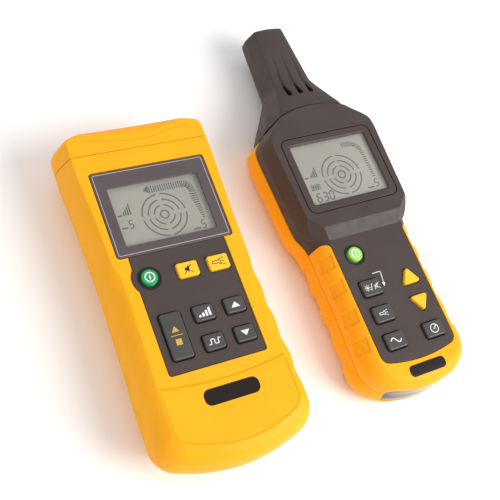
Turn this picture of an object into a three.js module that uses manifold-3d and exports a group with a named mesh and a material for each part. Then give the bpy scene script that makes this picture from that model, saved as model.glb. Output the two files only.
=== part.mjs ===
// Circuit breaker finder: a transmitter and a hand-held receiver, laid side by side on their backs.
// Millimetres, +Z up out of the front faces, +Y towards the top ends. Each unit is modelled in its
// own frame and the pair is then centred over the origin.

import * as THREE from 'three';
import { mergeVertices } from 'three/addons/utils/BufferGeometryUtils.js';
import Module from 'manifold-3d';

const wasm = await Module();
wasm.setup();
const { Manifold, Mesh: ManifoldMesh } = wasm;

// ---------------------------------------------------------------- driving dimensions

const GAP = 0.3;              // clearance between neighbouring pieces
const KEY_TRAVEL = 1.0;       // how far every key can be pressed
const FAR = 400;              // size of the blocks that only trim

const TX = {
  depth: 42.5,                // back face to front face
  partingZ: 26,               // where the front and back shells meet
  capY: 83.1,                 // joint between the shells and the end cap
  wall: 2.6,
  frontWall: 3.2,
  backWall: 3.0,
  capInsideY: 94.2,           // inner face of the end cap's end wall
  ledgeZ: 40.6,               // the bezel and the keypad panel rest just above this height
  panelZ: 41.9,               // top of the keypad panel, just below the front face
  pcbTopZ: 35.4,
  matTopZ: 37,
  keyTopZ: 43.5,
};

// Outer form of the transmitter, one entry per height: half width, top edge and how far its middle
// bulges, bottom edge at the middle. The hollow inside follows only the levels marked as core.
const TX_LEVELS = [
  { z: 0, half: 32, top: 90.5, bulge: 0.5, bottom: -79 },
  { z: 2.5, half: 35, top: 93.5, bulge: 1.0, bottom: -82.5, core: true },
  { z: 8, half: 38.4, top: 95.6, bulge: 1.3, bottom: -86.1 },
  { z: 15, half: 41.6, top: 96.7, bulge: 1.5, bottom: -89.4 },
  { z: 26, half: 45, top: 97.3, bulge: 1.6, bottom: -93.1, core: true },
  { z: 31, half: 43.9, top: 96.9, bulge: 2.0, bottom: -92.6 },
  { z: 36, half: 42, top: 96, bulge: 2.3, bottom: -91 },
  { z: 40, half: 40.2, top: 94.9, bulge: 2, bottom: -88.4 },
  { z: 41.8, half: 39.2, top: 94, bulge: 1, bottom: -86.2 },
  { z: 42.5, half: 38.3, top: 93.4, bulge: 0, bottom: -84, core: true },
];
const TX_WIDEST = 45;         // half width where the shells meet
const TX_BOTTOM_BOW = 11.4;   // how much lower the bottom edge is there at its middle than at its ends
const TX_CORNER = 8;
const TX_WAIST = { depth: 1.6, y: 10, length: 62 };

const TX_BEZEL = { x0: -32.7, x1: 32.7, y0: 22.6, y1: 72, top: 42.1, corner: 1.4 };
const TX_LCD = { x0: -25.6, x1: 25.6, y0: 28.6, y1: 62.0, z: 39 };
const TX_WINDOW_TOP = 41.7;
const LEDGE = 2;              // how far a frame or bezel overlaps the edge it rests on
const LCD_RIM = 2;            // border of a display module hidden by its frame
const TX_PANEL = { x0: -27.1, x1: 27.1, y0: -42.9, y1: 22.3, corner: 1.2 };
const TX_WELL_RADIUS = 9.2;   // round bulge of the panel around the power key
const TX_KEY_COLUMNS = { left: -17, middle: 1.1, right: 18.8 };
const TX_KEY_ROWS = { top: 8.7, middle: -16, bottom: -32 };
const SMALL_KEY = { w: 11.6, h: 8.8, material: 'darkKey' };
const TX_KEYS = [
  { name: 'tx_power_key', x: -20.1, y: 9.1, radius: 4.9, material: 'greenKey' },
  { name: 'tx_mute_key', x: TX_KEY_COLUMNS.middle, y: TX_KEY_ROWS.top, w: 13, h: 9, material: 'yellowKey' },
  { name: 'tx_torch_key', x: TX_KEY_COLUMNS.right, y: TX_KEY_ROWS.top, w: 13, h: 9, material: 'yellowKey' },
  { name: 'tx_level_key', x: TX_KEY_COLUMNS.middle, y: TX_KEY_ROWS.middle, ...SMALL_KEY },
  { name: 'tx_up_key', x: TX_KEY_COLUMNS.right, y: TX_KEY_ROWS.middle, ...SMALL_KEY },
  { name: 'tx_code_key', x: TX_KEY_COLUMNS.middle, y: TX_KEY_ROWS.bottom, ...SMALL_KEY },
  { name: 'tx_down_key', x: TX_KEY_COLUMNS.right, y: TX_KEY_ROWS.bottom, ...SMALL_KEY },
  { name: 'tx_start_stop_key', x: TX_KEY_COLUMNS.left, y: -24, w: 11.8, h: 25.4, material: 'darkKey' },
];
const TX_SOCKET = { x: 11, z: 20, face: 98, radius: 5.2, bore: 3.8, depth: 12, back: 84.5 };
const TX_TORCH = { z: 33, radius: 4.2, face: 97, back: 90 };
const TX_MAT = { x: 26, y0: -41, y1: 17, corner: 3 };
const TX_BOARD = { x: 30, y0: -46, y1: 67, corner: 2 };
const TX_BUZZER = { x: 19, y: -8, radius: 6, height: 5.1 };
const BOARD_THICKNESS = 1.6;
const TX_BOSSES = [[-28, 72], [28, 72], [-28, -64], [28, -64]];
const TX_DOOR = { x: 17, y0: -74, y1: -13, corner: 4 };
const NINE_VOLT = { w: 26.5, h: 17.5, length: 48.5, corner: 2, fromDoorTop: 11.4, lift: 0.6 };

const RX = {
  depth: 38.5,
  wall: 2.5,
  partingZ: 19.5,
  keypadZ: 34.3,
  plateWall: 2.3,             // thickness of the keypad plate and of the head's face
  backWall: 3.0,
  pcbTopZ: 27.3,
  matTopZ: 28.8,
  keyTopZ: 36.0,
  gripTopY: -41.2,            // the dark neck ends and the yellow grip starts
};

// Right half of the receiver's outline where its shells meet, from the bottom end to the top.
const RX_HALF = [
  [0, -135.6], [12, -134.4], [22.5, -131.2], [30.6, -125], [34.2, -116.5], [34.2, -105], [33, -81],
  [33.2, -58], [32.8, -46], [33.6, -38], [36.8, -30], [37.7, -22], [38, -7], [38.5, 12], [38.7, 23],
  [36.9, 30.5], [28, 38.5], [20, 44], [0, 48],
];
const RX_HEAD_HALF = [
  [0, -41], [22, -40.6], [31.5, -37.4], [36.4, -30], [37.6, -22], [38, -7], [38.5, 12], [38.7, 23],
  [36.9, 30.5], [28, 38.5], [20, 44], [0, 48],
];
// How far each height lies inside the outline: across, and at the bottom end.
const RX_BODY_LEVELS = [
  { z: 0, across: 6.8, bottom: 6.8 },
  { z: 2.5, across: 2.6, bottom: 2.8, core: true },
  { z: 9, across: -1.7, bottom: -0.4 },
  { z: 13.5, across: -2.4, bottom: -0.8, core: true },
  { z: 19.5, across: 0, bottom: 0, core: true },
  { z: 24.5, across: 0.4, bottom: 0.3 },
  { z: 29.5, across: 2.3, bottom: 1.4, core: true },
  { z: 32.6, across: 4.8, bottom: 3.3 },
  { z: 34, across: 6.6, bottom: 5 },
  { z: 34.5, across: 8.5, bottom: 6.8 },
];
const RX_HEAD_LEVELS = [
  { z: 19.65, across: 0, bottom: 0 },
  { z: 34.5, across: 1.7, bottom: 0.5 },
  { z: 37.7, across: 2.4, bottom: 6 },
  { z: 38.5, across: 3.2, bottom: 7.6 },
];
const RX_SEAM = { radius: 64, y: -20 };   // the curved joint between the head and the probe
// Sections of the probe: half width, half width of its front and back facets, height of the front
// facet's edges, how much higher its middle is, how far the side slopes fall from the front facet
// to the widest part, and height of the back facet.
const RX_PROBE_SECTIONS = [
  { y: 30, half: 34, facet: 24, top: 38.3, crown: 0.1, slope: 9, base: 1 },
  { y: 38, half: 30.5, facet: 22.5, top: 37.9, crown: 0.4, slope: 9.5, base: 1.6 },
  { y: 44, half: 27, facet: 20.2, top: 36.9, crown: 0.8, slope: 10, base: 3 },
  { y: 50, half: 23.2, facet: 17.8, top: 35, crown: 1.2, slope: 10.5, base: 4.6 },
  { y: 56, half: 19.6, facet: 15.6, top: 33, crown: 1.5, slope: 11, base: 6.2 },
  { y: 61, half: 16.7, facet: 13.9, top: 31.3, crown: 1.6, slope: 11, base: 7.4 },
  { y: 64.8, half: 14.8, facet: 12.8, top: 30.2, crown: 1.6, slope: 10.5, base: 8 },
  { y: 67, half: 14.3, facet: 12.5, top: 30, crown: 1.6, slope: 10, base: 8 },
  { y: 103.8, half: 13.1, facet: 9.9, top: 29.7, crown: 1.3, slope: 9, base: 8.4 },
  { y: 105.2, half: 12.2, facet: 9, top: 28.8, crown: 1.1, slope: 8.5, base: 9.2 },
];
const RX_PROBE_WALL = 2.6;
const RX_SLOTS = { spacing: 7.5, count: 3, y0: 54, y1: 63.5, half: 1.6 };
const RX_FRAME = { x: 30.6, y: 24, corner: 4.6 };
const RX_LCD = { x: 25.4, y: 18.8, z: 36 };
const RX_PANEL = { x: 25.2, y0: -116.6, bow: 3.1, corner: 5 };
const RX_KEY_COLUMNS = { left: -12.5, right: 14 };
const RX_KEYS = [
  { name: 'rx_power_key', x: -13.2, y: -52.5, radius: 4.9, material: 'limeKey' },
  { name: 'rx_backlight_key', x: RX_KEY_COLUMNS.left, y: -73.8, w: 12.8, h: 9.4, material: 'darkKey' },
  { name: 'rx_torch_key', x: RX_KEY_COLUMNS.left, y: -90, w: 12.8, h: 9.4, material: 'darkKey' },
  { name: 'rx_voltage_key', x: RX_KEY_COLUMNS.left, y: -106.4, w: 12.8, h: 9.4, material: 'darkKey' },
  { name: 'rx_manual_key', x: RX_KEY_COLUMNS.right, y: -107, w: 12.8, h: 9, material: 'darkKey' },
  { name: 'rx_level_up_key', x: RX_KEY_COLUMNS.right, y: -73.1, triangle: 1, material: 'yellowKey' },
  { name: 'rx_level_down_key', x: RX_KEY_COLUMNS.right, y: -90.7, triangle: -1, material: 'yellowKey' },
];
const TRIANGLE_KEY = { half: 6.2, height: 10 };
const RX_INSERT = { x: 24, z0: 10, z1: 26, corner: 5, thickness: 3.5, recess: 0.5 };
const RX_MAT = { x: 22.5, y0: -113, y1: -46, corner: 3 };
const RX_BOARD = { x: 23, y0: -114, y1: 27, corner: 3 };
const RX_ROD = { z: 17.4, radius: 2.4, y0: 66, y1: 101 };             // the coil's ferrite core
const RX_COIL = { radius: 5.6, y0: 74, y1: 94 };
const RX_TORCH = { radius: 4, y0: 102.9, y1: 105.2 };
const RX_BOSSES = [[-30.5, 22], [30.5, 22], [-28.9, -112], [28.9, -112]];
const RX_DOOR = { x: 19, y0: -126.5, y1: -26.5, corner: 4 };
const DOOR = { thickness: 1.4, recess: 1.7, screwInset: 5, ledge: 2 };
const AAA = {
  radius: 5.2, length: 44, nub: 1.8, nubLength: 1, pitch: 10.8, rows: [-125, -80], lift: 0.4,
};
const RX_PLACE = { x: 115.6, y: 49.5, turn: 1.4 * Math.PI / 180 };

const SCREW = { head: 2.7, headHeight: 1.8, shank: 1.3, clearance: 1.6, sink: 3.0, boss: 3.1 };

// ---------------------------------------------------------------- materials

const COLOURS = {
  yellowShell: [0xffc928, 0.42, 0],
  darkShell: [0x544b49, 0.5, 0],
  bezel: [0x6f6566, 0.25, 0],
  window: [0xdfe4dc, 0.08, 0],
  lcd: [0xb3ad9e, 0.35, 0],
  greenKey: [0x2c9a5c, 0.35, 0],
  limeKey: [0xa9d86b, 0.35, 0],
  yellowKey: [0xf3c944, 0.38, 0],
  darkKey: [0x4a4646, 0.45, 0],
  silicone: [0x8d8f92, 0.8, 0],
  board: [0x1f6b3a, 0.5, 0],
  cell: [0x3d4a66, 0.35, 0.4],
  red: [0xb3261e, 0.4, 0],
  black: [0x1c1b1b, 0.5, 0],
  lens: [0xe8f0f4, 0.1, 0],
  insert: [0x4c4248, 0.2, 0],
  steel: [0xb8bcc0, 0.3, 0.9],
  copper: [0xb06a3a, 0.35, 0.8],
};

function material(key) {
  const [color, roughness, metalness] = COLOURS[key];
  return new THREE.MeshStandardMaterial({ color, roughness, metalness });
}

// ---------------------------------------------------------------- solids

// Turns any closed three.js geometry into a solid that can be cut and joined.
function solid(geometry) {
  geometry.deleteAttribute('normal');
  geometry.deleteAttribute('uv');
  const merged = mergeVertices(geometry, 1e-4);
  const mesh = new ManifoldMesh({
    numProp: 3,
    vertProperties: merged.attributes.position.array,
    triVerts: new Uint32Array(merged.index.array),
  });
  return new Manifold(mesh);
}

// Turns a finished solid into a named mesh.
function piece(name, body, materialKey) {
  const { numProp, vertProperties, triVerts } = body.getMesh();
  const positions = new Float32Array(vertProperties.length / numProp * 3);
  for (let i = 0; i < positions.length / 3; i++) {
    positions.set(vertProperties.subarray(i * numProp, i * numProp + 3), i * 3);
  }
  const geometry = new THREE.BufferGeometry();
  geometry.setAttribute('position', new THREE.BufferAttribute(positions, 3));
  geometry.setIndex(new THREE.BufferAttribute(new Uint32Array(triVerts), 1));
  geometry.computeVertexNormals();
  const mesh = new THREE.Mesh(geometry, material(materialKey));
  mesh.name = name;
  return mesh;
}

function block(x0, x1, y0, y1, z0, z1) {
  const geometry = new THREE.BoxGeometry(x1 - x0, y1 - y0, z1 - z0);
  geometry.translate((x0 + x1) / 2, (y0 + y1) / 2, (z0 + z1) / 2);
  return solid(geometry);
}

const above = (z) => block(-FAR, FAR, -FAR, FAR, z, FAR);
const below = (z) => block(-FAR, FAR, -FAR, FAR, -FAR, z);
const beyondY = (y) => block(-FAR, FAR, y, FAR, -FAR, FAR);
const beforeY = (y) => block(-FAR, FAR, -FAR, y, -FAR, FAR);

// Round bar standing along Z.
function post(x, y, radius, z0, z1, sides = 16) {
  const geometry = new THREE.CylinderGeometry(radius, radius, z1 - z0, sides);
  geometry.rotateX(Math.PI / 2);
  geometry.translate(x, y, (z0 + z1) / 2);
  return solid(geometry);
}

// Round bar lying along Y.
function barY(x, z, radius, y0, y1, sides = 16) {
  const geometry = new THREE.CylinderGeometry(radius, radius, y1 - y0, sides);
  geometry.translate(x, (y0 + y1) / 2, z);
  return solid(geometry);
}

function roundedRect(x0, y0, x1, y1, r) {
  const shape = new THREE.Shape();
  shape.moveTo(x0 + r, y0);
  shape.lineTo(x1 - r, y0);
  shape.absarc(x1 - r, y0 + r, r, -Math.PI / 2, 0);
  shape.lineTo(x1, y1 - r);
  shape.absarc(x1 - r, y1 - r, r, 0, Math.PI / 2);
  shape.lineTo(x0 + r, y1);
  shape.absarc(x0 + r, y1 - r, r, Math.PI / 2, Math.PI);
  shape.lineTo(x0, y0 + r);
  shape.absarc(x0 + r, y0 + r, r, Math.PI, Math.PI * 1.5);
  return shape;
}

// The same, centred across X, from a piece's own dimensions.
const centredRect = ({ x, y0, y1, corner }) => roundedRect(-x, y0, x, y1, corner);

function prism(shape, z0, z1, curveSegments = 2) {
  const geometry = new THREE.ExtrudeGeometry(shape, { depth: z1 - z0, bevelEnabled: false, curveSegments });
  geometry.translate(0, 0, z0);
  return solid(geometry);
}

// A prism along Y from a shape drawn with X across and -Z up.
function prismY(shape, y0, y1) {
  const options = { depth: y1 - y0, bevelEnabled: false, curveSegments: 2 };
  const geometry = new THREE.ExtrudeGeometry(shape, options);
  geometry.translate(0, 0, y0);
  geometry.rotateX(-Math.PI / 2);
  return solid(geometry);
}

// Skins a stack of outlines with equal numbers of points, from the lowest to the highest. A stack
// that lies along Y is drawn with X across and -Z up, and its levels are heights along Y.
function loft(levels, alongY = false) {
  const count = levels[0].outline.length;
  const positions = [];
  for (const { z, outline } of levels) {
    for (const p of outline) {
      positions.push(p.x, p.y, z);
    }
  }
  const index = [];
  for (let level = 0; level < levels.length - 1; level++) {
    for (let i = 0; i < count; i++) {
      const a = level * count + i;
      const b = level * count + (i + 1) % count;
      index.push(a, b, b + count, a, b + count, a + count);
    }
  }
  for (const last of [false, true]) {
    const start = last ? (levels.length - 1) * count : 0;
    const outline = levels[last ? levels.length - 1 : 0].outline;
    for (const [a, b, c] of THREE.ShapeUtils.triangulateShape(outline, [])) {
      const turnsLeft = THREE.ShapeUtils.area([outline[a], outline[b], outline[c]]) > 0;
      if (turnsLeft === last) {
        index.push(start + a, start + b, start + c);
      } else {
        index.push(start + a, start + c, start + b);
      }
    }
  }
  const geometry = new THREE.BufferGeometry();
  geometry.setAttribute('position', new THREE.Float32BufferAttribute(positions, 3));
  geometry.setIndex(index);
  if (alongY) {
    geometry.rotateX(-Math.PI / 2);
  }
  return solid(geometry);
}

// Moves a closed outline inwards along its own normals, by different amounts across and at the bottom.
function inset(outline, across, bottom) {
  return outline.map((p, i) => {
    const before = outline[(i + outline.length - 1) % outline.length];
    const after = outline[(i + 1) % outline.length];
    const normal = new THREE.Vector2(before.y - after.y, after.x - before.x).normalize();
    return new THREE.Vector2(p.x + normal.x * across, p.y + normal.y * (normal.y > 0 ? bottom : across));
  });
}

// ---------------------------------------------------------------- shared pieces

function keyShape(key, grow) {
  if (key.radius) {
    const circle = new THREE.Shape();
    circle.absarc(key.x, key.y, key.radius + grow, 0, Math.PI * 2);
    return circle;
  }
  if (key.triangle) {
    const { half, height } = TRIANGLE_KEY;
    const tip = key.y + key.triangle * (height / 2 + grow * 2);
    const base = key.y - key.triangle * (height / 2 + grow);
    const side = half + grow * 1.8;
    const triangle = new THREE.Shape();
    triangle.moveTo(key.x - side, base);
    triangle.lineTo(key.x + side, base);
    triangle.lineTo(key.x, tip);
    return triangle;
  }
  const w = key.w / 2 + grow;
  const h = key.h / 2 + grow;
  return roundedRect(key.x - w, key.y - h, key.x + w, key.y + h, 1.4 + grow / 2);
}

function keyOutline(key, grow) {
  const points = keyShape(key, grow).getPoints(key.radius ? 7 : 1);
  const distinct = points.filter((p, i) => p.distanceTo(points.at(i - 1)) > 1e-6);
  return THREE.ShapeUtils.area(distinct) > 0 ? distinct : distinct.reverse();
}

// A key: the visible cap, a wider retaining flange under the panel and a short plunger.
function keyCap(key, topZ, panelBottomZ, matTopZ) {
  const round = 0.7;
  const flange = 0.6;
  const flangeTop = panelBottomZ - GAP;
  const flangeBottom = flangeTop - 1;
  const stages = [
    [matTopZ + KEY_TRAVEL + GAP, 0], [flangeBottom, 0], [flangeBottom, flange],
    [flangeTop, flange], [flangeTop, 0], [topZ - round, 0], [topZ, -round],
  ];
  return loft(stages.map(([z, grow]) => ({ z, outline: keyOutline(key, grow) })));
}

function keyHole(key, z0, z1) {
  return prism(keyShape(key, GAP), z0, z1, key.radius ? 7 : 1);
}

function caseScrew(x, y, headZ, length) {
  const head = post(x, y, SCREW.head, headZ, headZ + SCREW.headHeight, 12);
  const shank = post(x, y, SCREW.shank, headZ + 0.5, headZ + length, 8);
  const slot = block(x - 2, x + 2, y - 0.4, y + 0.4, headZ - 1, headZ + 0.6);
  const cross = block(x - 0.4, x + 0.4, y - 2, y + 2, headZ - 1, headZ + 0.6);
  return head.add(shank).subtract(slot).subtract(cross);
}

// The hole that a case screw goes through: a wide sink for the head and a clearance bore.
function screwHole(x, y, topZ) {
  const sink = post(x, y, SCREW.head + GAP, -1, SCREW.sink + SCREW.headHeight + GAP, 12);
  return sink.add(post(x, y, SCREW.clearance, -1, topZ, 8));
}

const doorShape = (door, grow) => roundedRect(
  -door.x - grow, door.y0 - grow, door.x + grow, door.y1 + grow, door.corner);

// Cuts the stepped battery opening into a back shell and adds the boss for the door's screw.
function openForDoor(shell, door, floorZ) {
  const y = door.y1 - DOOR.screwInset;
  let cut = shell.subtract(prism(doorShape(door, GAP), -1, DOOR.recess));
  cut = cut.subtract(prism(doorShape(door, -DOOR.ledge), -1, floorZ + 1));
  cut = cut.add(post(0, y, SCREW.boss + 1, DOOR.recess, 12, 14));
  cut = cut.add(block(-2, 2, y, door.y1 + 0.5, DOOR.recess, floorZ));
  return cut.subtract(post(0, y, SCREW.clearance, -1, 11, 8));
}

function batteryDoor(door) {
  const y = door.y1 - DOOR.screwInset;
  const plate = prism(doorShape(door, 0), 0, DOOR.thickness);
  return plate.subtract(post(0, y, SCREW.head + GAP, -1, DOOR.recess + 1, 12));
}

// A pan-head screw whose head sits in the door's hole, just inside the back face.
function doorScrew(door) {
  const y = door.y1 - DOOR.screwInset;
  const head = post(0, y, SCREW.head, 0.4, DOOR.thickness, 12);
  const slot = block(-2, 2, y - 0.4, y + 0.4, 0, 0.8);
  return head.add(post(0, y, SCREW.shank, 0.9, 9, 8)).subtract(slot);
}

// ---------------------------------------------------------------- transmitter

// Closed outline of the transmitter at one height, anticlockwise from the bottom left corner.
function txOutline({ half, top, bulge, bottom }, wall = 0) {
  const w = half - wall;
  const y1 = top - wall;
  const bow = TX_BOTTOM_BOW * (w / TX_WIDEST) ** 2;
  const y0 = bottom + wall + bow;
  const r = TX_CORNER - Math.min(wall, 2);
  const rect = [];
  const arc = (cx, cy, from) => {
    for (let i = 0; i <= 3; i++) {
      const angle = from + i * Math.PI / 6;
      rect.push(new THREE.Vector2(cx + r * Math.cos(angle), cy + r * Math.sin(angle)));
    }
  };
  const edge = (x0, ya, x1, yb, parts) => {
    for (let i = 1; i < parts; i++) {
      rect.push(new THREE.Vector2(x0 + (x1 - x0) * i / parts, ya + (yb - ya) * i / parts));
    }
  };
  arc(-w + r, y0 + r, Math.PI);
  edge(-w + r, y0, w - r, y0, 8);
  arc(w - r, y0 + r, -Math.PI / 2);
  edge(w, y0 + r, w, y1 - r, 7);
  arc(w - r, y1 - r, 0);
  edge(w - r, y1, -w + r, y1, 6);
  arc(-w + r, y1 - r, Math.PI / 2);
  edge(-w, y1 - r, -w, y0 + r, 7);
  return rect.map((p) => {
    const across = 1 - (p.x / w) ** 2;
    const reach = Math.max(0, 1 - ((p.y - TX_WAIST.y) / TX_WAIST.length) ** 2);
    const x = p.x - Math.sign(p.x) * TX_WAIST.depth * reach * (Math.abs(p.x) / w) ** 4;
    if (p.y > y1 - r) {
      return new THREE.Vector2(x, p.y + bulge * across);
    }
    return new THREE.Vector2(x, p.y < y0 + r ? p.y - bow * across : p.y);
  });
}

function txBody(wall, z0, z1) {
  const levels = TX_LEVELS.filter(({ core }) => core || wall === 0)
    .map((level) => ({ z: level.z, outline: txOutline(level, wall) }));
  return loft(levels).intersect(above(z0)).intersect(below(z1));
}

const txPanelShape = (grow) => roundedRect(
  TX_PANEL.x0 - grow, TX_PANEL.y0 - grow, TX_PANEL.x1 + grow, TX_PANEL.y1 + grow, TX_PANEL.corner);
const txBezelShape = (grow) => roundedRect(
  TX_BEZEL.x0 - grow, TX_BEZEL.y0 - grow, TX_BEZEL.x1 + grow, TX_BEZEL.y1 + grow, TX_BEZEL.corner);
const txLcdShape = (grow) => roundedRect(
  TX_LCD.x0 - grow, TX_LCD.y0 - grow, TX_LCD.x1 + grow, TX_LCD.y1 + grow, 0.8);

function txPanelSolid(grow, z0, z1) {
  const power = TX_KEYS[0];
  return prism(txPanelShape(grow), z0, z1).add(post(power.x, power.y, TX_WELL_RADIUS + grow, z0, z1, 24));
}

function buildTransmitter(group) {
  const outer = txBody(0, 0, TX.depth);
  const frontInside = TX.depth - TX.frontWall;
  const cavity = txBody(TX.wall, TX.backWall, frontInside);

  // Front shell, with stepped openings for the display bezel and the keypad panel.
  let front = outer.intersect(above(TX.partingZ + GAP / 2)).intersect(beforeY(TX.capY - GAP / 2));
  front = front.subtract(cavity);
  for (const [x, y] of TX_BOSSES) {
    front = front.add(post(x, y, SCREW.boss, TX.partingZ + GAP / 2, frontInside + 1, 10));
    front = front.subtract(post(x, y, SCREW.clearance, TX.partingZ - 1, TX.depth - 8, 8));
  }
  front = front.subtract(prism(txBezelShape(GAP), TX.ledgeZ, TX.depth + 1));
  front = front.subtract(prism(txBezelShape(-LEDGE), TX.partingZ, TX.depth + 1));
  front = front.subtract(txPanelSolid(GAP, TX.ledgeZ, TX.depth + 1));
  front = front.subtract(txPanelSolid(-0.9, TX.partingZ, TX.depth + 1));
  group.add(piece('tx_front_shell', front, 'yellowShell'));

  // Back shell, with screw bosses and the battery opening.
  let back = outer.intersect(below(TX.partingZ - GAP / 2)).intersect(beforeY(TX.capY - GAP / 2));
  back = back.subtract(cavity);
  for (const [x, y] of TX_BOSSES) {
    back = back.add(post(x, y, SCREW.boss + 1, 1, TX.partingZ - GAP / 2, 10));
    back = back.subtract(screwHole(x, y, TX.partingZ));
  }
  back = openForDoor(back, TX_DOOR, TX.backWall);
  group.add(piece('tx_back_shell', back, 'yellowShell'));

  // Hard end cap that carries the lead sockets and the torch.
  let cap = outer.intersect(beyondY(TX.capY + GAP / 2));
  cap = cap.subtract(cavity.intersect(beforeY(TX.capInsideY)));
  for (const side of [-1, 1]) {
    cap = cap.subtract(barY(side * TX_SOCKET.x, TX_SOCKET.z, TX_SOCKET.radius + GAP, 80, 110));
  }
  cap = cap.subtract(barY(0, TX_TORCH.z, TX_TORCH.radius + GAP, 80, 110));
  group.add(piece('tx_end_cap', cap, 'yellowShell'));

  const sockets = [['tx_socket_signal', -1, 'red'], ['tx_socket_earth', 1, 'black']];
  for (const [name, side, colour] of sockets) {
    const x = side * TX_SOCKET.x;
    const body = barY(x, TX_SOCKET.z, TX_SOCKET.radius, TX_SOCKET.back, TX_SOCKET.face);
    const bore = barY(x, TX_SOCKET.z, TX_SOCKET.bore, TX_SOCKET.face - TX_SOCKET.depth, TX_SOCKET.face + 1);
    group.add(piece(name, body.subtract(bore), colour));
  }
  const lamp = barY(0, TX_TORCH.z, TX_TORCH.radius, TX_TORCH.back, TX_TORCH.face);
  group.add(piece('tx_torch_lens', lamp, 'lens'));

  // Display: bezel, clear window and the display module behind it.
  let bezel = prism(txBezelShape(0), TX.ledgeZ + GAP, TX_BEZEL.top);
  bezel = bezel.subtract(prism(txLcdShape(0.6), TX.ledgeZ, TX_BEZEL.top + 1));
  group.add(piece('tx_display_bezel', bezel, 'bezel'));
  group.add(piece('tx_display_window', prism(txLcdShape(0.2), TX.ledgeZ + GAP, TX_WINDOW_TOP), 'window'));
  const lcd = block(
    TX_LCD.x0 - LCD_RIM, TX_LCD.x1 + LCD_RIM, TX_LCD.y0 - LCD_RIM, TX_LCD.y1 + LCD_RIM,
    TX.pcbTopZ + GAP, TX_LCD.z);
  group.add(piece('tx_display_module', lcd, 'lcd'));

  // Keypad: panel, keys, silicone mat and the board they press on.
  const panelBottom = TX.ledgeZ + GAP;
  let panel = txPanelSolid(0, panelBottom, TX.panelZ);
  for (const key of TX_KEYS) {
    panel = panel.subtract(keyHole(key, panelBottom - 1, TX.panelZ + 1));
    group.add(piece(key.name, keyCap(key, TX.keyTopZ, panelBottom, TX.matTopZ), key.material));
  }
  group.add(piece('tx_keypad_panel', panel, 'darkShell'));
  const mat = prism(centredRect(TX_MAT), TX.pcbTopZ + GAP, TX.matTopZ);
  group.add(piece('tx_keypad_mat', mat, 'silicone'));
  const boardBottom = TX.pcbTopZ - BOARD_THICKNESS;
  group.add(piece('tx_circuit_board', prism(centredRect(TX_BOARD), boardBottom, TX.pcbTopZ), 'board'));
  const buzzerTop = boardBottom - GAP;
  const buzzer = post(TX_BUZZER.x, TX_BUZZER.y, TX_BUZZER.radius, buzzerTop - TX_BUZZER.height, buzzerTop);
  group.add(piece('tx_buzzer', buzzer, 'black'));

  // Power supply.
  const packTop = TX_DOOR.y1 - NINE_VOLT.fromDoorTop;
  const half = NINE_VOLT.w / 2;
  const packZ = TX.backWall + NINE_VOLT.lift;
  const pack = roundedRect(-half, packTop - NINE_VOLT.length, half, packTop, NINE_VOLT.corner);
  group.add(piece('tx_battery', prism(pack, packZ, packZ + NINE_VOLT.h), 'cell'));
  group.add(piece('tx_battery_door', batteryDoor(TX_DOOR), 'yellowShell'));
  group.add(piece('tx_door_screw', doorScrew(TX_DOOR), 'steel'));
  TX_BOSSES.forEach(([x, y], i) => {
    group.add(piece(`tx_case_screw_${i + 1}`, caseScrew(x, y, SCREW.sink, 28), 'steel'));
  });
}

// ---------------------------------------------------------------- receiver

// Closed outline from its right half, anticlockwise from the middle of the bottom end.
function mirrored(half, parts) {
  const right = new THREE.SplineCurve(half.map(([x, y]) => new THREE.Vector2(x, y))).getPoints(parts);
  const left = right.slice(1, -1).reverse().map((p) => new THREE.Vector2(-p.x, p.y));
  return right.concat(left);
}

const RX_OUTLINE = mirrored(RX_HALF, 21);
const RX_HEAD_OUTLINE = mirrored(RX_HEAD_HALF, 15);

function rxBody(wall, z0, z1) {
  const levels = RX_BODY_LEVELS.filter(({ core }) => core || wall === 0).map(({ z, across, bottom }) => (
    { z, outline: inset(RX_OUTLINE, across + wall, bottom + wall) }));
  return loft(levels).intersect(above(z0)).intersect(below(z1));
}

function rxHead(wall, z1) {
  const levels = RX_HEAD_LEVELS.map(({ z, across, bottom }, i) => (
    { z: i === 0 ? z - wall : z, outline: inset(RX_HEAD_OUTLINE, across + wall, bottom + wall) }));
  return loft(levels).intersect(below(z1));
}

const rxPanelShape = (grow) => {
  const { x, y0, bow, corner } = RX_PANEL;
  const shape = new THREE.Shape();
  shape.moveTo(-x - grow, -36);
  shape.lineTo(-x - grow, y0 + corner);
  shape.quadraticCurveTo(-x - grow, y0 - grow, -x + corner - grow, y0 - 0.8 - grow);
  shape.quadraticCurveTo(0, y0 - 2 * bow + 0.8 - grow, x - corner + grow, y0 - 0.8 - grow);
  shape.quadraticCurveTo(x + grow, y0 - grow, x + grow, y0 + corner);
  shape.lineTo(x + grow, -36);
  return shape;
};

// One cross-section of the probe: a crowned front, a flat back and sloping shoulders.
function probeSection({ y, half, facet, top, crown, slope, base }, wall) {
  const w = half - wall;
  const f = facet - wall;
  const hi = top - wall;
  const lo = base + wall;
  const shoulder = Math.min(6, (hi - lo) / 3);
  const fall = Math.min(slope, (hi - lo) / 2);
  const right = [[f, lo], [w - 0.6, lo + shoulder - 1], [w, lo + shoulder + 1],
    [w, hi - fall - 1], [w - 0.6, hi - fall + 1], [f, hi]];
  const front = [0.75, 0.5, 0.25, 0, -0.25, -0.5, -0.75].map((share) => (
    [share * f, hi + crown * (1 - share ** 2)]));
  const left = right.map(([x, z]) => [-x, z]).reverse();
  const outline = [...right, ...front, ...left].map(([x, z]) => new THREE.Vector2(x, -z)).reverse();
  return { z: y, outline };
}

function probeLoft(wall, endWall) {
  const sections = RX_PROBE_SECTIONS.map((section) => probeSection(section, wall));
  sections[sections.length - 1].z -= endWall;
  sections[sections.length - 2].z -= endWall;
  return loft(sections, true);
}

const seamCylinder = (radius) => post(0, RX_SEAM.y, radius, -10, 60, 48);

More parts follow.
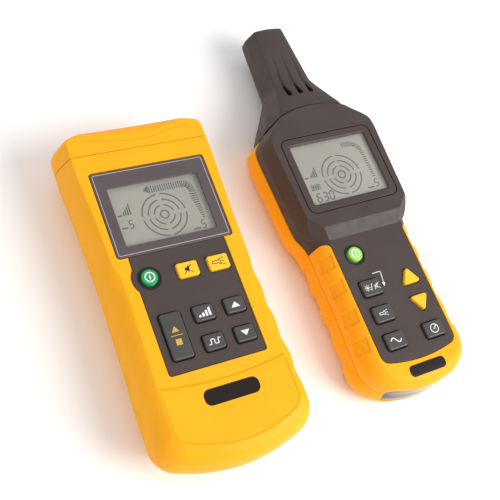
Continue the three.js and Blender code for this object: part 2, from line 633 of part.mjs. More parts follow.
// Everything beyond the curved joint, seen from the head.
function beyondSeam(radius) {
  return block(-FAR, FAR, 0, FAR, -10, 60).subtract(seamCylinder(radius));
}

function buildReceiver(group) {
  const { wall, plateWall } = RX;
  const pastHead = beyondSeam(RX_SEAM.radius - GAP / 2);
  const pastHollow = beyondSeam(RX_SEAM.radius - 3);
  const body = rxBody(0, 0, 34.5);
  const insideTop = RX.keypadZ - plateWall;

  // Dark front shell: head, neck and keypad plate in one moulding.
  const neck = body.intersect(above(RX.partingZ + GAP / 2)).intersect(beyondY(RX.gripTopY))
    .intersect(beforeY(-28));
  let front = rxHead(0, RX.depth).add(neck).add(prism(rxPanelShape(0), 28, RX.keypadZ));
  front = front.subtract(pastHead).intersect(above(RX.partingZ + GAP / 2));
  const headHollow = rxHead(wall, RX.depth - plateWall).intersect(beyondY(-34));
  const neckHollow = rxBody(wall, 10, insideTop).intersect(beyondY(-60)).intersect(beforeY(20));
  front = front.subtract(headHollow.subtract(pastHollow));
  front = front.subtract(neckHollow.intersect(block(-FAR, FAR, -60, -30, 10, insideTop)));
  front = front.subtract(prism(rxPanelShape(-1.8), 10, insideTop));
  const frameShape = (grow) => roundedRect(
    -RX_FRAME.x - grow, -RX_FRAME.y - grow, RX_FRAME.x + grow, RX_FRAME.y + grow, RX_FRAME.corner);
  front = front.subtract(prism(frameShape(GAP), RX.depth - 1.5, RX.depth + 1));
  front = front.subtract(prism(frameShape(-LEDGE), RX.partingZ, RX.depth + 1));
  for (const [x, y] of RX_BOSSES.slice(0, 2)) {
    front = front.add(post(x, y, SCREW.boss, RX.partingZ + GAP / 2, 36.6, 12));
    front = front.subtract(post(x, y, SCREW.clearance, 10, 33, 8));
  }
  for (const key of RX_KEYS) {
    front = front.subtract(keyHole(key, insideTop - 1, RX.keypadZ + 1));
    group.add(piece(key.name, keyCap(key, RX.keyTopZ, insideTop, RX.matTopZ), key.material));
  }
  group.add(piece('rx_front_shell', front, 'darkShell'));

  // Yellow U-shaped grip around the keypad plate.
  const insertShape = (grow) => roundedRect(
    -RX_INSERT.x - grow, -RX_INSERT.z1 - grow, RX_INSERT.x + grow, -RX_INSERT.z0 + grow, RX_INSERT.corner);
  const insertHole = prismY(insertShape(GAP), -160, -120);
  const gripCore = loft([
    { z: 10, outline: inset(RX_OUTLINE, wall, wall) },
    { z: 24.5, outline: inset(RX_OUTLINE, 2.7, 2.7) },
    { z: 28, outline: inset(RX_OUTLINE, 4.2, 4.2) },
    { z: 30.5, outline: inset(RX_OUTLINE, 6.8, 6.8) },
  ]);
  let grip = body.intersect(above(RX.partingZ + GAP / 2)).intersect(beforeY(RX.gripTopY - GAP));
  grip = grip.subtract(gripCore).subtract(prism(rxPanelShape(GAP), 20, 40));
  for (const [x, y] of RX_BOSSES.slice(2)) {
    grip = grip.add(post(x, y, SCREW.boss, RX.partingZ + GAP / 2, 31, 12));
    grip = grip.subtract(post(x, y, SCREW.clearance, 10, 29, 8));
  }
  grip = grip.subtract(insertHole);
  group.add(piece('rx_grip', grip, 'yellowShell'));

  // Yellow back shell.
  const hollow = rxBody(wall, RX.backWall, 34);
  let back = body.intersect(below(RX.partingZ - GAP / 2)).subtract(pastHead);
  back = back.subtract(hollow.subtract(pastHollow));
  for (const [x, y] of RX_BOSSES) {
    back = back.add(post(x, y, SCREW.boss + 0.9, 2, RX.partingZ - GAP / 2, 10).intersect(body));
    back = back.subtract(screwHole(x, y, RX.partingZ));
  }
  back = back.subtract(insertHole);
  back = openForDoor(back, RX_DOOR, RX.backWall);
  group.add(piece('rx_back_shell', back, 'yellowShell'));

  group.add(piece('rx_battery_door', batteryDoor(RX_DOOR), 'yellowShell'));
  group.add(piece('rx_door_screw', doorScrew(RX_DOOR), 'steel'));

  // Dark end insert let into the bottom end.
  const { recess, thickness } = RX_INSERT;
  const insertBody = rxBody(recess, 0, 34).subtract(rxBody(recess + thickness, 0, 34));
  const insert = insertBody.intersect(prismY(insertShape(0), -160, -120));
  group.add(piece('rx_end_insert', insert, 'insert'));

  // Probe with its slots, coil and torch.
  let probe = probeLoft(0, 0).subtract(seamCylinder(RX_SEAM.radius + GAP / 2));
  probe = probe.subtract(probeLoft(RX_PROBE_WALL, 3));
  for (let i = 0; i < RX_SLOTS.count; i++) {
    const x = (i - (RX_SLOTS.count - 1) / 2) * RX_SLOTS.spacing;
    const slot = roundedRect(x - RX_SLOTS.half, RX_SLOTS.y0, x + RX_SLOTS.half, RX_SLOTS.y1, RX_SLOTS.half);
    probe = probe.subtract(prism(slot, 20, 45));
  }
  probe = probe.subtract(barY(0, RX_ROD.z, RX_TORCH.radius + GAP, RX_ROD.y0, RX_TORCH.y1 + 5));
  group.add(piece('rx_probe', probe, 'darkShell'));
  group.add(piece('rx_torch_lens', barY(0, RX_ROD.z, RX_TORCH.radius, RX_TORCH.y0, RX_TORCH.y1), 'lens'));
  group.add(piece('rx_coil_core', barY(0, RX_ROD.z, RX_ROD.radius, RX_ROD.y0, RX_ROD.y1, 14), 'black'));
  const bore = barY(0, RX_ROD.z, RX_ROD.radius + GAP, RX_ROD.y0, RX_ROD.y1, 14);
  const winding = barY(0, RX_ROD.z, RX_COIL.radius, RX_COIL.y0, RX_COIL.y1).subtract(bore);
  group.add(piece('rx_sensor_coil', winding, 'copper'));

  // Display.
  let frame = prism(frameShape(0), RX.depth - 1.2, RX.depth - 0.1);
  const lcdShape = (grow) => roundedRect(
    -RX_LCD.x - grow, -RX_LCD.y - grow, RX_LCD.x + grow, RX_LCD.y + grow, 1);
  frame = frame.subtract(prism(lcdShape(0.6), 30, RX.depth + 1));
  group.add(piece('rx_display_frame', frame, 'darkShell'));
  group.add(piece('rx_display_window', prism(lcdShape(0.2), RX.depth - 1.2, RX.depth - 0.6), 'window'));
  const halfX = RX_LCD.x + LCD_RIM;
  const halfY = RX_LCD.y + LCD_RIM;
  const lcd = block(-halfX, halfX, -halfY, halfY, RX.pcbTopZ + GAP, RX_LCD.z);
  group.add(piece('rx_display_module', lcd, 'lcd'));

  // Electronics and cells.
  const mat = prism(centredRect(RX_MAT), RX.pcbTopZ + GAP, RX.matTopZ);
  group.add(piece('rx_keypad_mat', mat, 'silicone'));
  const board = prism(centredRect(RX_BOARD), RX.pcbTopZ - BOARD_THICKNESS, RX.pcbTopZ);
  group.add(piece('rx_circuit_board', board, 'board'));
  let count = 0;
  for (const y0 of AAA.rows) {
    for (const x of [-AAA.pitch, 0, AAA.pitch]) {
      count += 1;
      const z = RX.backWall + AAA.radius + AAA.lift;
      const can = barY(x, z, AAA.radius, y0, y0 + AAA.length - AAA.nubLength, 12);
      const cell = can.add(barY(x, z, AAA.nub, y0 + 1, y0 + AAA.length, 10));
      group.add(piece(`rx_cell_${count}`, cell, 'cell'));
    }
  }
  RX_BOSSES.forEach(([x, y], i) => {
    group.add(piece(`rx_case_screw_${i + 1}`, caseScrew(x, y, SCREW.sink, 22), 'steel'));
  });
}

// ---------------------------------------------------------------- the set

const transmitter = new THREE.Group();
buildTransmitter(transmitter);

const receiver = new THREE.Group();
buildReceiver(receiver);
receiver.position.set(RX_PLACE.x, RX_PLACE.y, 0);
receiver.rotation.z = RX_PLACE.turn;

const set = new THREE.Group();
set.add(transmitter, receiver);

// Centre the pair over the origin, resting on Z = 0.
const extent = new THREE.Box3().setFromObject(set, true);
const middle = extent.getCenter(new THREE.Vector3());
set.position.set(-middle.x, -middle.y, -extent.min.z);

export default set;
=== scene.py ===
"""Circuit breaker finder: transmitter and receiver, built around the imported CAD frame."""

import math

import bmesh
import bpy
import numpy as np
from mathutils import Matrix, Vector


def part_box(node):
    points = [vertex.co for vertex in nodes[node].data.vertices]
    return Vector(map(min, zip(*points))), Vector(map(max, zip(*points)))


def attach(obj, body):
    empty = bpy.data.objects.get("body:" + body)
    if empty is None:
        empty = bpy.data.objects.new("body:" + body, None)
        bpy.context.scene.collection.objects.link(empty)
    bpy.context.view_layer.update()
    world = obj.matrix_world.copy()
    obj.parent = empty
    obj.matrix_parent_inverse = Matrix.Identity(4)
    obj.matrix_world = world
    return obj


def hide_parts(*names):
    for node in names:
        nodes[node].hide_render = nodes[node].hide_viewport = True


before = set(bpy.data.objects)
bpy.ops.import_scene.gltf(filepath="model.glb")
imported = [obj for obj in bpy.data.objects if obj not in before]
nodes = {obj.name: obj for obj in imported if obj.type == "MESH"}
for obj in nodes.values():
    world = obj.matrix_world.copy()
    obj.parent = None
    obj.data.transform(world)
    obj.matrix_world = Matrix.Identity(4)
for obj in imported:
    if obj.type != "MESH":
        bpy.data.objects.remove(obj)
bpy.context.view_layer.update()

# ------------------------------------------------------------------ unit frames
# Each unit is drawn in its own millimetre frame: X across, Y towards the top end, Z out of the front.

MM = 0.001
RX_TURN = math.radians(1.4)
BEZEL_LOW_Y = 22.6            # lower edge of the transmitter's bezel in its own frame


def unit_matrix(x, y, turn=0.0):
    return Matrix.Translation((x, y, 0)) @ Matrix.Rotation(turn, 4, "Z") @ Matrix.Scale(MM, 4)


def middle(node):
    low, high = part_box(node)
    return (low + high) / 2


# A piece's name starts with its unit, which gives the piece its place and, as a rule, its body.
PLACE = {
    "tx": unit_matrix(middle("tx_display_bezel").x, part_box("tx_display_bezel")[0].y - BEZEL_LOW_Y * MM),
    "rx": unit_matrix(middle("rx_display_frame").x, middle("rx_display_frame").y, RX_TURN),
}
BODY = {"tx": "transmitter", "rx": "receiver"}

# ------------------------------------------------------------------ curves and outlines


def smooth(xs, ys, x):
    """Monotone cubic through the points (xs, ys), read at x."""
    xs, ys, x = (np.asarray(v, float) for v in (xs, ys, x))
    step = np.diff(xs)
    slope = np.diff(ys) / step
    tangent = np.zeros(len(xs))
    tangent[0], tangent[-1] = slope[0], slope[-1]
    for i in range(1, len(xs) - 1):
        if slope[i - 1] * slope[i] > 0:
            a, b = 2 * step[i] + step[i - 1], step[i] + 2 * step[i - 1]
            tangent[i] = (a + b) / (a / slope[i - 1] + b / slope[i])
    i = np.clip(np.searchsorted(xs, x) - 1, 0, len(step) - 1)
    t = (x - xs[i]) / step[i]
    return ((2 * t**3 - 3 * t**2 + 1) * ys[i] + (t**3 - 2 * t**2 + t) * step[i] * tangent[i]
            + (3 * t**2 - 2 * t**3) * ys[i + 1] + (t**3 - t**2) * step[i] * tangent[i + 1])


def ramp(low, high, x):
    """Smooth step from 0 at low to 1 at high."""
    t = np.clip((np.asarray(x, float) - low) / (high - low), 0, 1)
    return t * t * (3 - 2 * t)


def window(low, high, soft, x):
    """1 between low and high, falling to 0 over a soft edge outside them."""
    return ramp(low - soft, low, x) * (1 - ramp(high, high + soft, x))


def outward(outline, distance):
    """Moves a closed anticlockwise outline outwards along its own normals."""
    before = outline - np.roll(outline, 1, 0)
    after = np.roll(outline, -1, 0) - outline
    before /= np.maximum(np.linalg.norm(before, axis=1), 1e-9)[:, None]
    after /= np.maximum(np.linalg.norm(after, axis=1), 1e-9)[:, None]
    along = before + after
    along /= np.linalg.norm(along, axis=1)[:, None]
    normal = np.stack([along[:, 1], -along[:, 0]], 1)
    stretch = 1 / np.maximum(0.5, (along * after).sum(1))
    return outline + normal * (distance * stretch)[:, None]


def rounded_rect(x0, y0, x1, y1, radius, parts=7):
    angles = np.radians(np.linspace(0, 90, parts + 1))
    corners = ((x1 - radius, y0 + radius, -90), (x1 - radius, y1 - radius, 0),
               (x0 + radius, y1 - radius, 90), (x0 + radius, y0 + radius, 180))
    turns = [(cx, cy, a + math.radians(start)) for cx, cy, start in corners for a in angles]
    return np.array([(cx + radius * math.cos(t), cy + radius * math.sin(t)) for cx, cy, t in turns])


def circle(x, y, radius, parts=48):
    angles = np.linspace(0, 2 * math.pi, parts, endpoint=False)
    return np.stack([x + radius * np.cos(angles), y + radius * np.sin(angles)], 1)


def rounded_polygon(corners, radius, parts=6):
    """Closed polygon with every corner rounded; corners run anticlockwise."""
    points = []
    corners = [np.array(c, float) for c in corners]
    for i, corner in enumerate(corners):
        before = corners[i - 1] - corner
        after = corners[(i + 1) % len(corners)] - corner
        before /= np.linalg.norm(before)
        after /= np.linalg.norm(after)
        half = math.acos(np.clip(before @ after, -1, 1)) / 2
        reach = radius / math.tan(half)
        for t in np.linspace(0, 1, parts + 1):
            a, b = corner + before * reach, corner + after * reach
            points.append((1 - t) ** 2 * a + 2 * t * (1 - t) * corner + t * t * b)
    return np.array(points)


def stroke(path, width):
    """Outline of a line of even width drawn along a path."""
    path = np.array(path, float)
    along = np.gradient(path, axis=0)
    for i in range(1, len(path) - 1):
        a, b = path[i] - path[i - 1], path[i + 1] - path[i]
        along[i] = a / np.linalg.norm(a) + b / np.linalg.norm(b)
    along /= np.linalg.norm(along, axis=1)[:, None]
    side = np.stack([along[:, 1], -along[:, 0]], 1) * width / 2
    return np.vstack([path + side, (path - side)[::-1]])


def arc_path(x, y, radius, start, end, parts=16):
    angles = np.radians(np.linspace(start, end, parts + 1))
    return np.stack([x + radius * np.cos(angles), y + radius * np.sin(angles)], 1)


def resample(points, count):
    points = np.array(points, float)
    along = np.concatenate([[0], np.cumsum(np.linalg.norm(np.diff(points, axis=0), axis=1))])
    t = np.linspace(0, along[-1], count)
    return np.stack([np.interp(t, along, points[:, 0]), np.interp(t, along, points[:, 1])], 1)


# ------------------------------------------------------------------ meshes


def new_object(name, points, faces):
    mesh = bpy.data.meshes.new(name)
    mesh.from_pydata([tuple(float(c) for c in p) for p in points], [], faces)
    mesh.update()
    obj = bpy.data.objects.new(name, mesh)
    bpy.context.scene.collection.objects.link(obj)
    return obj


def ring(outline, z):
    return np.column_stack([outline, np.full(len(outline), float(z))])


def loft(rings):
    """Closed skin over a stack of rings with equal numbers of points, from the lowest to the highest."""
    count = len(rings[0])
    faces = [tuple(reversed(range(count)))]
    for level in range(len(rings) - 1):
        for i in range(count):
            a, b = level * count + i, level * count + (i + 1) % count
            faces.append((a, b, b + count, a + count))
    faces.append(tuple(range((len(rings) - 1) * count, len(rings) * count)))
    return new_object("solid", np.vstack(rings), faces)


def stack(outline_at, heights):
    return [ring(outline_at(z), z) for z in heights]


def skin(outline_at, heights, rim_low=0.0, rim_high=0.0):
    """Loft over some heights; a rim rounds the first or last of them inwards."""
    rings = stack(outline_at, heights)
    low, high = heights[0], heights[-1]
    if rim_low:
        rings[0] = ring(outward(outline_at(low), -rim_low), low)
        rings.insert(1, ring(outward(outline_at(low), -rim_low * 0.3), low + rim_low * 0.3))
        rings.insert(2, ring(outline_at(low + rim_low), low + rim_low))
    if rim_high:
        rings[-1] = ring(outward(outline_at(high), -rim_high), high)
        rings.insert(-1, ring(outward(outline_at(high), -rim_high * 0.3), high - rim_high * 0.3))
        rings.insert(-2, ring(outline_at(high - rim_high), high - rim_high))
    return loft(rings)


def prism(outline, profile):
    """Solid with the same outline at each height, grown or shrunk as the profile of (z, grow) says."""
    return loft([ring(outward(outline, grow), z) for z, grow in profile])


def rounded_top(z, radius, grow=0.0, parts=5):
    """Profile of an edge rounded inwards up to height z."""
    angles = np.radians(np.linspace(0, 90, parts + 1))
    return [(z - radius + radius * math.sin(a), grow - radius + radius * math.cos(a)) for a in angles]


def rounded_bottom(z, radius):
    return [(2 * z - height, grow) for height, grow in reversed(rounded_top(z, radius))]


def lip(z, radius, grow):
    """Profile of a hole's cutter whose mouth is rounded outwards up to height z."""
    angles = np.radians(np.linspace(0, 90, 6))
    flare = [(z - radius + radius * math.sin(a), grow + radius - radius * math.cos(a)) for a in angles]
    return flare + [(z + 1, grow + radius)]


def lathe(profile, parts=48):
    """Closed body of revolution about Z from a (radius, z) profile that starts and ends on the axis."""
    return loft([ring(circle(0, 0, max(radius, 1e-4), parts), z) for radius, z in profile])


def moved(obj, matrix):
    obj.data.transform(matrix)
    return obj


def laid_along_y(obj, x=0.0, z=0.0):
    """Turns a body drawn along Z so that it lies along Y, with its top towards +Y."""
    return moved(obj, Matrix.Translation((x, 0, z)) @ Matrix.Rotation(math.radians(-90), 4, "X"))


def bake(obj):
    """Replaces the mesh with the result of its modifiers."""
    evaluated = obj.evaluated_get(bpy.context.evaluated_depsgraph_get())
    mesh = bpy.data.meshes.new_from_object(evaluated)
    obj.modifiers.clear()
    old, obj.data = obj.data, mesh
    bpy.data.meshes.remove(old)


def combine(obj, others, operation="DIFFERENCE"):
    """Cuts, joins or intersects a solid with others, and removes them."""
    for other in others:
        modifier = obj.modifiers.new("combine", "BOOLEAN")
        modifier.operation = operation
        modifier.solver = "MANIFOLD"
        modifier.object = other
    bake(obj)
    for other in others:
        bpy.data.objects.remove(other)
    return obj


def block(x0, x1, y0, y1, z0, z1):
    return loft([ring(np.array([(x0, y0), (x1, y0), (x1, y1), (x0, y1)]), z) for z in (z0, z1)])


def post(x, y, radius, z0, z1, parts=32):
    return prism(circle(x, y, radius, parts), [(z0, 0), (z1, 0)])


def flat_marks(outlines, z0, z1):
    """Thin printed marks lying flat, one prism for each outline, in a single object."""
    points, faces = [], []
    for outline in outlines:
        mark = prism(anticlockwise(outline), [(z0, 0), (z1, 0)])
        faces += [tuple(len(points) + i for i in p.vertices) for p in mark.data.polygons]
        points += [v.co[:] for v in mark.data.vertices]
        bpy.data.objects.remove(mark)
    return new_object("marks", points, faces)


def anticlockwise(outline):
    outline = np.asarray(outline, float)
    x, y = outline[:, 0], outline[:, 1]
    area = (x * np.roll(y, -1) - np.roll(x, -1) * y).sum()
    return outline if area > 0 else outline[::-1]


SHARP = math.radians(28)


def finish_piece(obj, name, material, body=None, weighted=True):
    """Puts a finished solid into the shared frame, shades it, paints it and ties it to its body."""
    obj.name = name
    obj.data.name = name
    obj.data.transform(PLACE[name[:2]])
    obj.data.polygons.foreach_set("use_smooth", [True] * len(obj.data.polygons))
    obj.data.set_sharp_from_angle(angle=SHARP)
    if weighted:
        modifier = obj.modifiers.new("flat faces stay flat", "WEIGHTED_NORMAL")
        modifier.keep_sharp = True
    obj.data.materials.clear()
    obj.data.materials.append(material)
    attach(obj, body or BODY[name[:2]])
    return obj


def finish_node(obj, node, material, kind="moulding", body=None):
    """Finishes a piece that stands for a CAD node, and hides the node."""
    piece = finish_piece(obj, f"{node}_{kind}", material, body)
    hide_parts(node)
    return piece


# ------------------------------------------------------------------ materials


def srgb(code):
    values = [int(code[i:i + 2], 16) / 255 for i in (0, 2, 4)]
    return tuple(v / 12.92 if v <= 0.04045 else ((v + 0.055) / 1.055) ** 2.4 for v in values) + (1.0,)


class Surface:
    """A node material under construction: a Principled shader with helpers for its detail."""

    def __init__(self, name):
        self.material = bpy.data.materials.new(name)
        self.material.use_nodes = True
        self.tree = self.material.node_tree
        self.shader = self.tree.nodes["Principled BSDF"]
        self.coordinates = self.node("ShaderNodeTexCoord").outputs["Object"]

    def node(self, kind, **settings):
        made = self.tree.nodes.new(kind)
        for key, value in settings.items():
            setattr(made, key, value)
        return made

    def link(self, source, target):
        self.tree.links.new(source, target)

    def feed(self, **sources):
        """Links node outputs to the shader's sockets; an underscore stands for a space."""
        for name, source in sources.items():
            self.link(source, self.shader.inputs[name.replace("_", " ")])

    def fix(self, **values):
        """Sets uniform values on the shader's own sockets."""
        for name, value in values.items():
            self.shader.inputs[name.replace("_", " ")].default_value = value

    def noise(self, scale, detail=3.0, roughness=0.55, stretch=None):
        texture = self.node("ShaderNodeTexNoise")
        texture.inputs["Scale"].default_value = scale
        texture.inputs["Detail"].default_value = detail
        texture.inputs["Roughness"].default_value = roughness
        source = self.coordinates
        if stretch:
            mapping = self.node("ShaderNodeMapping")
            mapping.inputs["Scale"].default_value = stretch
            self.link(source, mapping.inputs["Vector"])
            source = mapping.outputs["Vector"]
        self.link(source, texture.inputs["Vector"])
        return texture.outputs["Fac"]

    def spread(self, factor, low, high, out_low=0.0, out_high=1.0):
        mapper = self.node("ShaderNodeMapRange")
        for name, value in (("From Min", low), ("From Max", high), ("To Min", out_low), ("To Max", out_high)):
            mapper.inputs[name].default_value = value
        self.link(factor, mapper.inputs["Value"])
        return mapper.outputs["Result"]

    def mix(self, factor, a, b):
        mixer = self.node("ShaderNodeMix", data_type="RGBA")
        self.link(factor, mixer.inputs["Factor"])
        for socket, value in ((mixer.inputs[6], a), (mixer.inputs[7], b)):
            if isinstance(value, tuple):
                socket.default_value = value
            else:
                self.link(value, socket)
        return mixer.outputs[2]

    def bump(self, height, strength, distance, previous=None):
        node = self.node("ShaderNodeBump")
        node.inputs["Strength"].default_value = strength
        node.inputs["Distance"].default_value = distance
        self.link(height, node.inputs["Height"])
        if previous is not None:
            self.link(previous, node.inputs["Normal"])
        return node.outputs["Normal"]

    def edges(self, radius):
        """1 along convex and concave edges, 0 on flats."""
        bevel = self.node("ShaderNodeBevel", samples=4)
        bevel.inputs["Radius"].default_value = radius
        geometry = self.node("ShaderNodeNewGeometry")
        dot = self.node("ShaderNodeVectorMath", operation="DOT_PRODUCT")
        self.link(bevel.outputs["Normal"], dot.inputs[0])
        self.link(geometry.outputs["True Normal"], dot.inputs[1])
        return self.spread(dot.outputs["Value"], 0.98, 0.65)


def shade(colour, factor):
    return tuple(min(1.0, c * factor) for c in colour[:3]) + (1.0,)


def plastic(name, code, roughness, grain=1500.0, grain_strength=0.08, variation=0.06, wear=0.0, coat=0.0,
            specular=0.5):
    """Moulded plastic: mottled colour, uneven gloss, fine moulded grain and slightly polished edges."""
    s = Surface(name)
    colour = srgb(code)
    cloud = s.spread(s.noise(38.0, 2.0), 0.3, 0.7)
    base = s.mix(cloud, shade(colour, 1 - variation), shade(colour, 1 + variation))
    if wear:
        scuffed = s.spread(s.noise(420.0, 4.0, 0.7), 0.42, 0.68, 0.0, wear)
        rubbed = s.node("ShaderNodeMath", operation="MULTIPLY")
        s.link(s.edges(0.0006), rubbed.inputs[0])
        s.link(scuffed, rubbed.inputs[1])
        base = s.mix(rubbed.outputs[0], base, shade(colour, 1.9))
    fine = s.bump(s.noise(grain, 2.0), grain_strength, 0.00008)
    s.feed(Base_Color=base,
           Roughness=s.spread(s.noise(190.0, 4.0), 0.3, 0.7, roughness * 0.86, roughness * 1.14),
           Normal=s.bump(s.noise(95.0, 1.0), 0.05, 0.0002, fine))
    s.fix(Coat_Weight=coat, Coat_Roughness=0.12, Specular_IOR_Level=specular)
    return s.material


def metal(name, code, roughness, stretch=(1, 1, 1)):
    """Metal with drawn or turned marks and a dulled bloom."""
    s = Surface(name)
    colour = srgb(code)
    s.feed(Base_Color=s.mix(s.noise(260.0, 3.0), shade(colour, 0.85), shade(colour, 1.1)),
           Roughness=s.spread(s.noise(900.0, 4.0, 0.6, stretch), 0.3, 0.7, roughness * 0.7, roughness * 1.3),
           Normal=s.bump(s.noise(1800.0, 2.0, 0.5, stretch), 0.12, 0.00005))
    s.fix(Metallic=1.0)
    return s.material


def display_material(name):
    """Reflective liquid-crystal glass: warm grey with a faint pixel weave and a soft cloud."""
    s = Surface(name)
    cloud = s.mix(s.spread(s.noise(24.0, 2.0), 0.3, 0.7), srgb("8f8a7d"), srgb("9c978a"))
    s.feed(Base_Color=s.mix(s.spread(s.noise(5200.0, 1.0), 0.35, 0.65, 0.0, 0.35), cloud, srgb("857f72")),
           Roughness=s.spread(s.noise(140.0, 2.0), 0.3, 0.7, 0.3, 0.42),
           Normal=s.bump(s.noise(4200.0, 1.0), 0.05, 0.00002))
    return s.material


def clear_material(name, alpha):
    """Clear moulded window, barely smeared."""
    s = Surface(name)
    tint = srgb("eef2ef")
    s.feed(Base_Color=s.mix(s.noise(60.0, 2.0), tint, shade(tint, 0.93)),
           Roughness=s.spread(s.noise(75.0, 4.0), 0.35, 0.7, 0.05, 0.13))
    s.fix(Alpha=alpha)
    s.material.surface_render_method = "BLENDED"
    return s.material


YELLOW = plastic("yellow_shell", "fdad1a", 0.44, 1300.0, 0.06, 0.025, wear=0.12, specular=0.16)
DARK = plastic("dark_shell", "463b38", 0.48, 1700.0, 0.16, 0.07, wear=0.3, specular=0.3)
PANEL = plastic("keypad_panel", "463c3a", 0.52, 2100.0, 0.12, 0.06, wear=0.2, specular=0.3)
BEZEL = plastic("bezel_print", "574c4d", 0.34, 900.0, 0.03, 0.05, wear=0.2, coat=0.1, specular=0.35)
# Light grey-mauve for the painted highlight round the bezel's edge.
BEZEL_PAINTED_HIGHLIGHT = plastic("bezel_line", "c3b9be", 0.35, 900.0, 0.03)
# Near-black for the painted shade on the floor of the power keys' round wells.
PAINTED_WELL_SHADE = plastic("painted_well_shade", "191516", 0.42, 1500.0, 0.1)
DARK_KEY = plastic("dark_key", "454141", 0.36, 1600.0, 0.1, 0.06, wear=0.4)
YELLOW_KEY = plastic("yellow_key", "f9c02f", 0.38, 1500.0, 0.06, 0.04, wear=0.2, specular=0.25)
GREEN_KEY = plastic("green_key", "259a56", 0.34, 1400.0, 0.05, 0.06, wear=0.2, specular=0.35)
LIME_KEY = plastic("lime_key", "8fcb55", 0.3, 1400.0, 0.05, 0.05, wear=0.2)
WHITE_PRINT = plastic("white_print", "ecebe8", 0.5, 2600.0, 0.1, 0.05)
GOLD_PRINT = plastic("gold_print", "c9a43c", 0.5, 2600.0, 0.1, 0.08)
BADGE = plastic("badge_print", "1c1311", 0.5, 2200.0, 0.06, 0.1, specular=0.2)
DARK_PRINT = plastic("dark_print", "231f1d", 0.5, 2600.0, 0.1, 0.1)
SEGMENT = plastic("lcd_segment", "201f1d", 0.5, 3000.0, 0.05, 0.15)
LCD = display_material("lcd_glass")
WINDOW = clear_material("clear_window", 0.07)
LENS = clear_material("torch_lens", 0.45)
RED_PLASTIC = plastic("red_socket", "a81f1a", 0.33, 1200.0, 0.05, 0.06, wear=0.2)
BLACK_PLASTIC = plastic("black_plastic", "1b1a1a", 0.38, 1300.0, 0.08, 0.1, wear=0.3)
INSERT = plastic("end_insert", "3a3034", 0.16, 800.0, 0.03, 0.1, coat=0.6)
BRASS = metal("brass_contact", "c79a4b", 0.28)
STEEL = metal("screw_steel", "b9bcc0", 0.3)
COPPER = metal("copper_wire", "b4663a", 0.35, (1, 60, 1))
CELL = plastic("cell_sleeve", "39465f", 0.3, 900.0, 0.03, 0.08, wear=0.3, coat=0.4)
SILICONE = plastic("silicone_mat", "85878b", 0.72, 900.0, 0.12, 0.05)
BOARD = plastic("circuit_board", "1d6438", 0.4, 700.0, 0.25, 0.12, coat=0.3)

# ------------------------------------------------------------------ transmitter body

TX_PARTING = 26.0
TX_CAP = 83.1                 # joint between the shells and the end cap
SEAM = 0.15                   # half the width of a joint line
RIM = 0.35                    # rounding of an edge at a joint
TX_Z = (0, 0.5, 2.5, 8, 15, 26, 29, 33, 36.5, 39.5, 41.3, 42.2, 42.5)
TX_UPPER = (31, 32.8, 35, 38.4, 41.6, 45, 44.5, 43.3, 42.0, 40.8, 39.9, 39.3, 38.9)
TX_GRIP = (31, 32.8, 35, 38.4, 41.6, 45, 44.6, 43.4, 41.7, 39.4, 37.4, 36.2, 35.7)
TX_TOP = (90, 91.5, 92.8, 94.2, 95.0, 95.9, 96.0, 96.0, 95.8, 95.2, 94.4, 93.7, 93.2)
TX_RISE = (0.3, 0.5, 1.0, 2.0, 2.8, 3.0, 3.0, 3.0, 2.9, 2.6, 2.2, 1.9, 1.7)
TX_DIP = (0, 0, 0, 0, 0, 0, 0, 0, 0, 0.4, 2.0, 3.4, 3.9)
TX_END_CORNER = (4, 4.3, 4.8, 5.4, 5.8, 6, 6, 5.8, 5.4, 4.6, 3.6, 2.8, 2.3)
TX_BOTTOM = (-78, -80.2, -82.5, -86.1, -89.4, -93.1, -93.0, -92.4, -91.2, -89.3, -86.6, -84.4, -83.7)
TX_BOW = (7, 8, 9, 10, 11, 11.4, 11.4, 11.2, 11, 10.6, 10.2, 9.8, 9.5)
TX_CORNER = (5, 5.6, 6.5, 7.5, 8.2, 8.8, 8.8, 8.6, 8.2, 7.5, 6.6, 5.6, 5)
TX_SIDE_PARTS, TX_END_PARTS, TX_CORNER_PARTS = 110, 46, 9


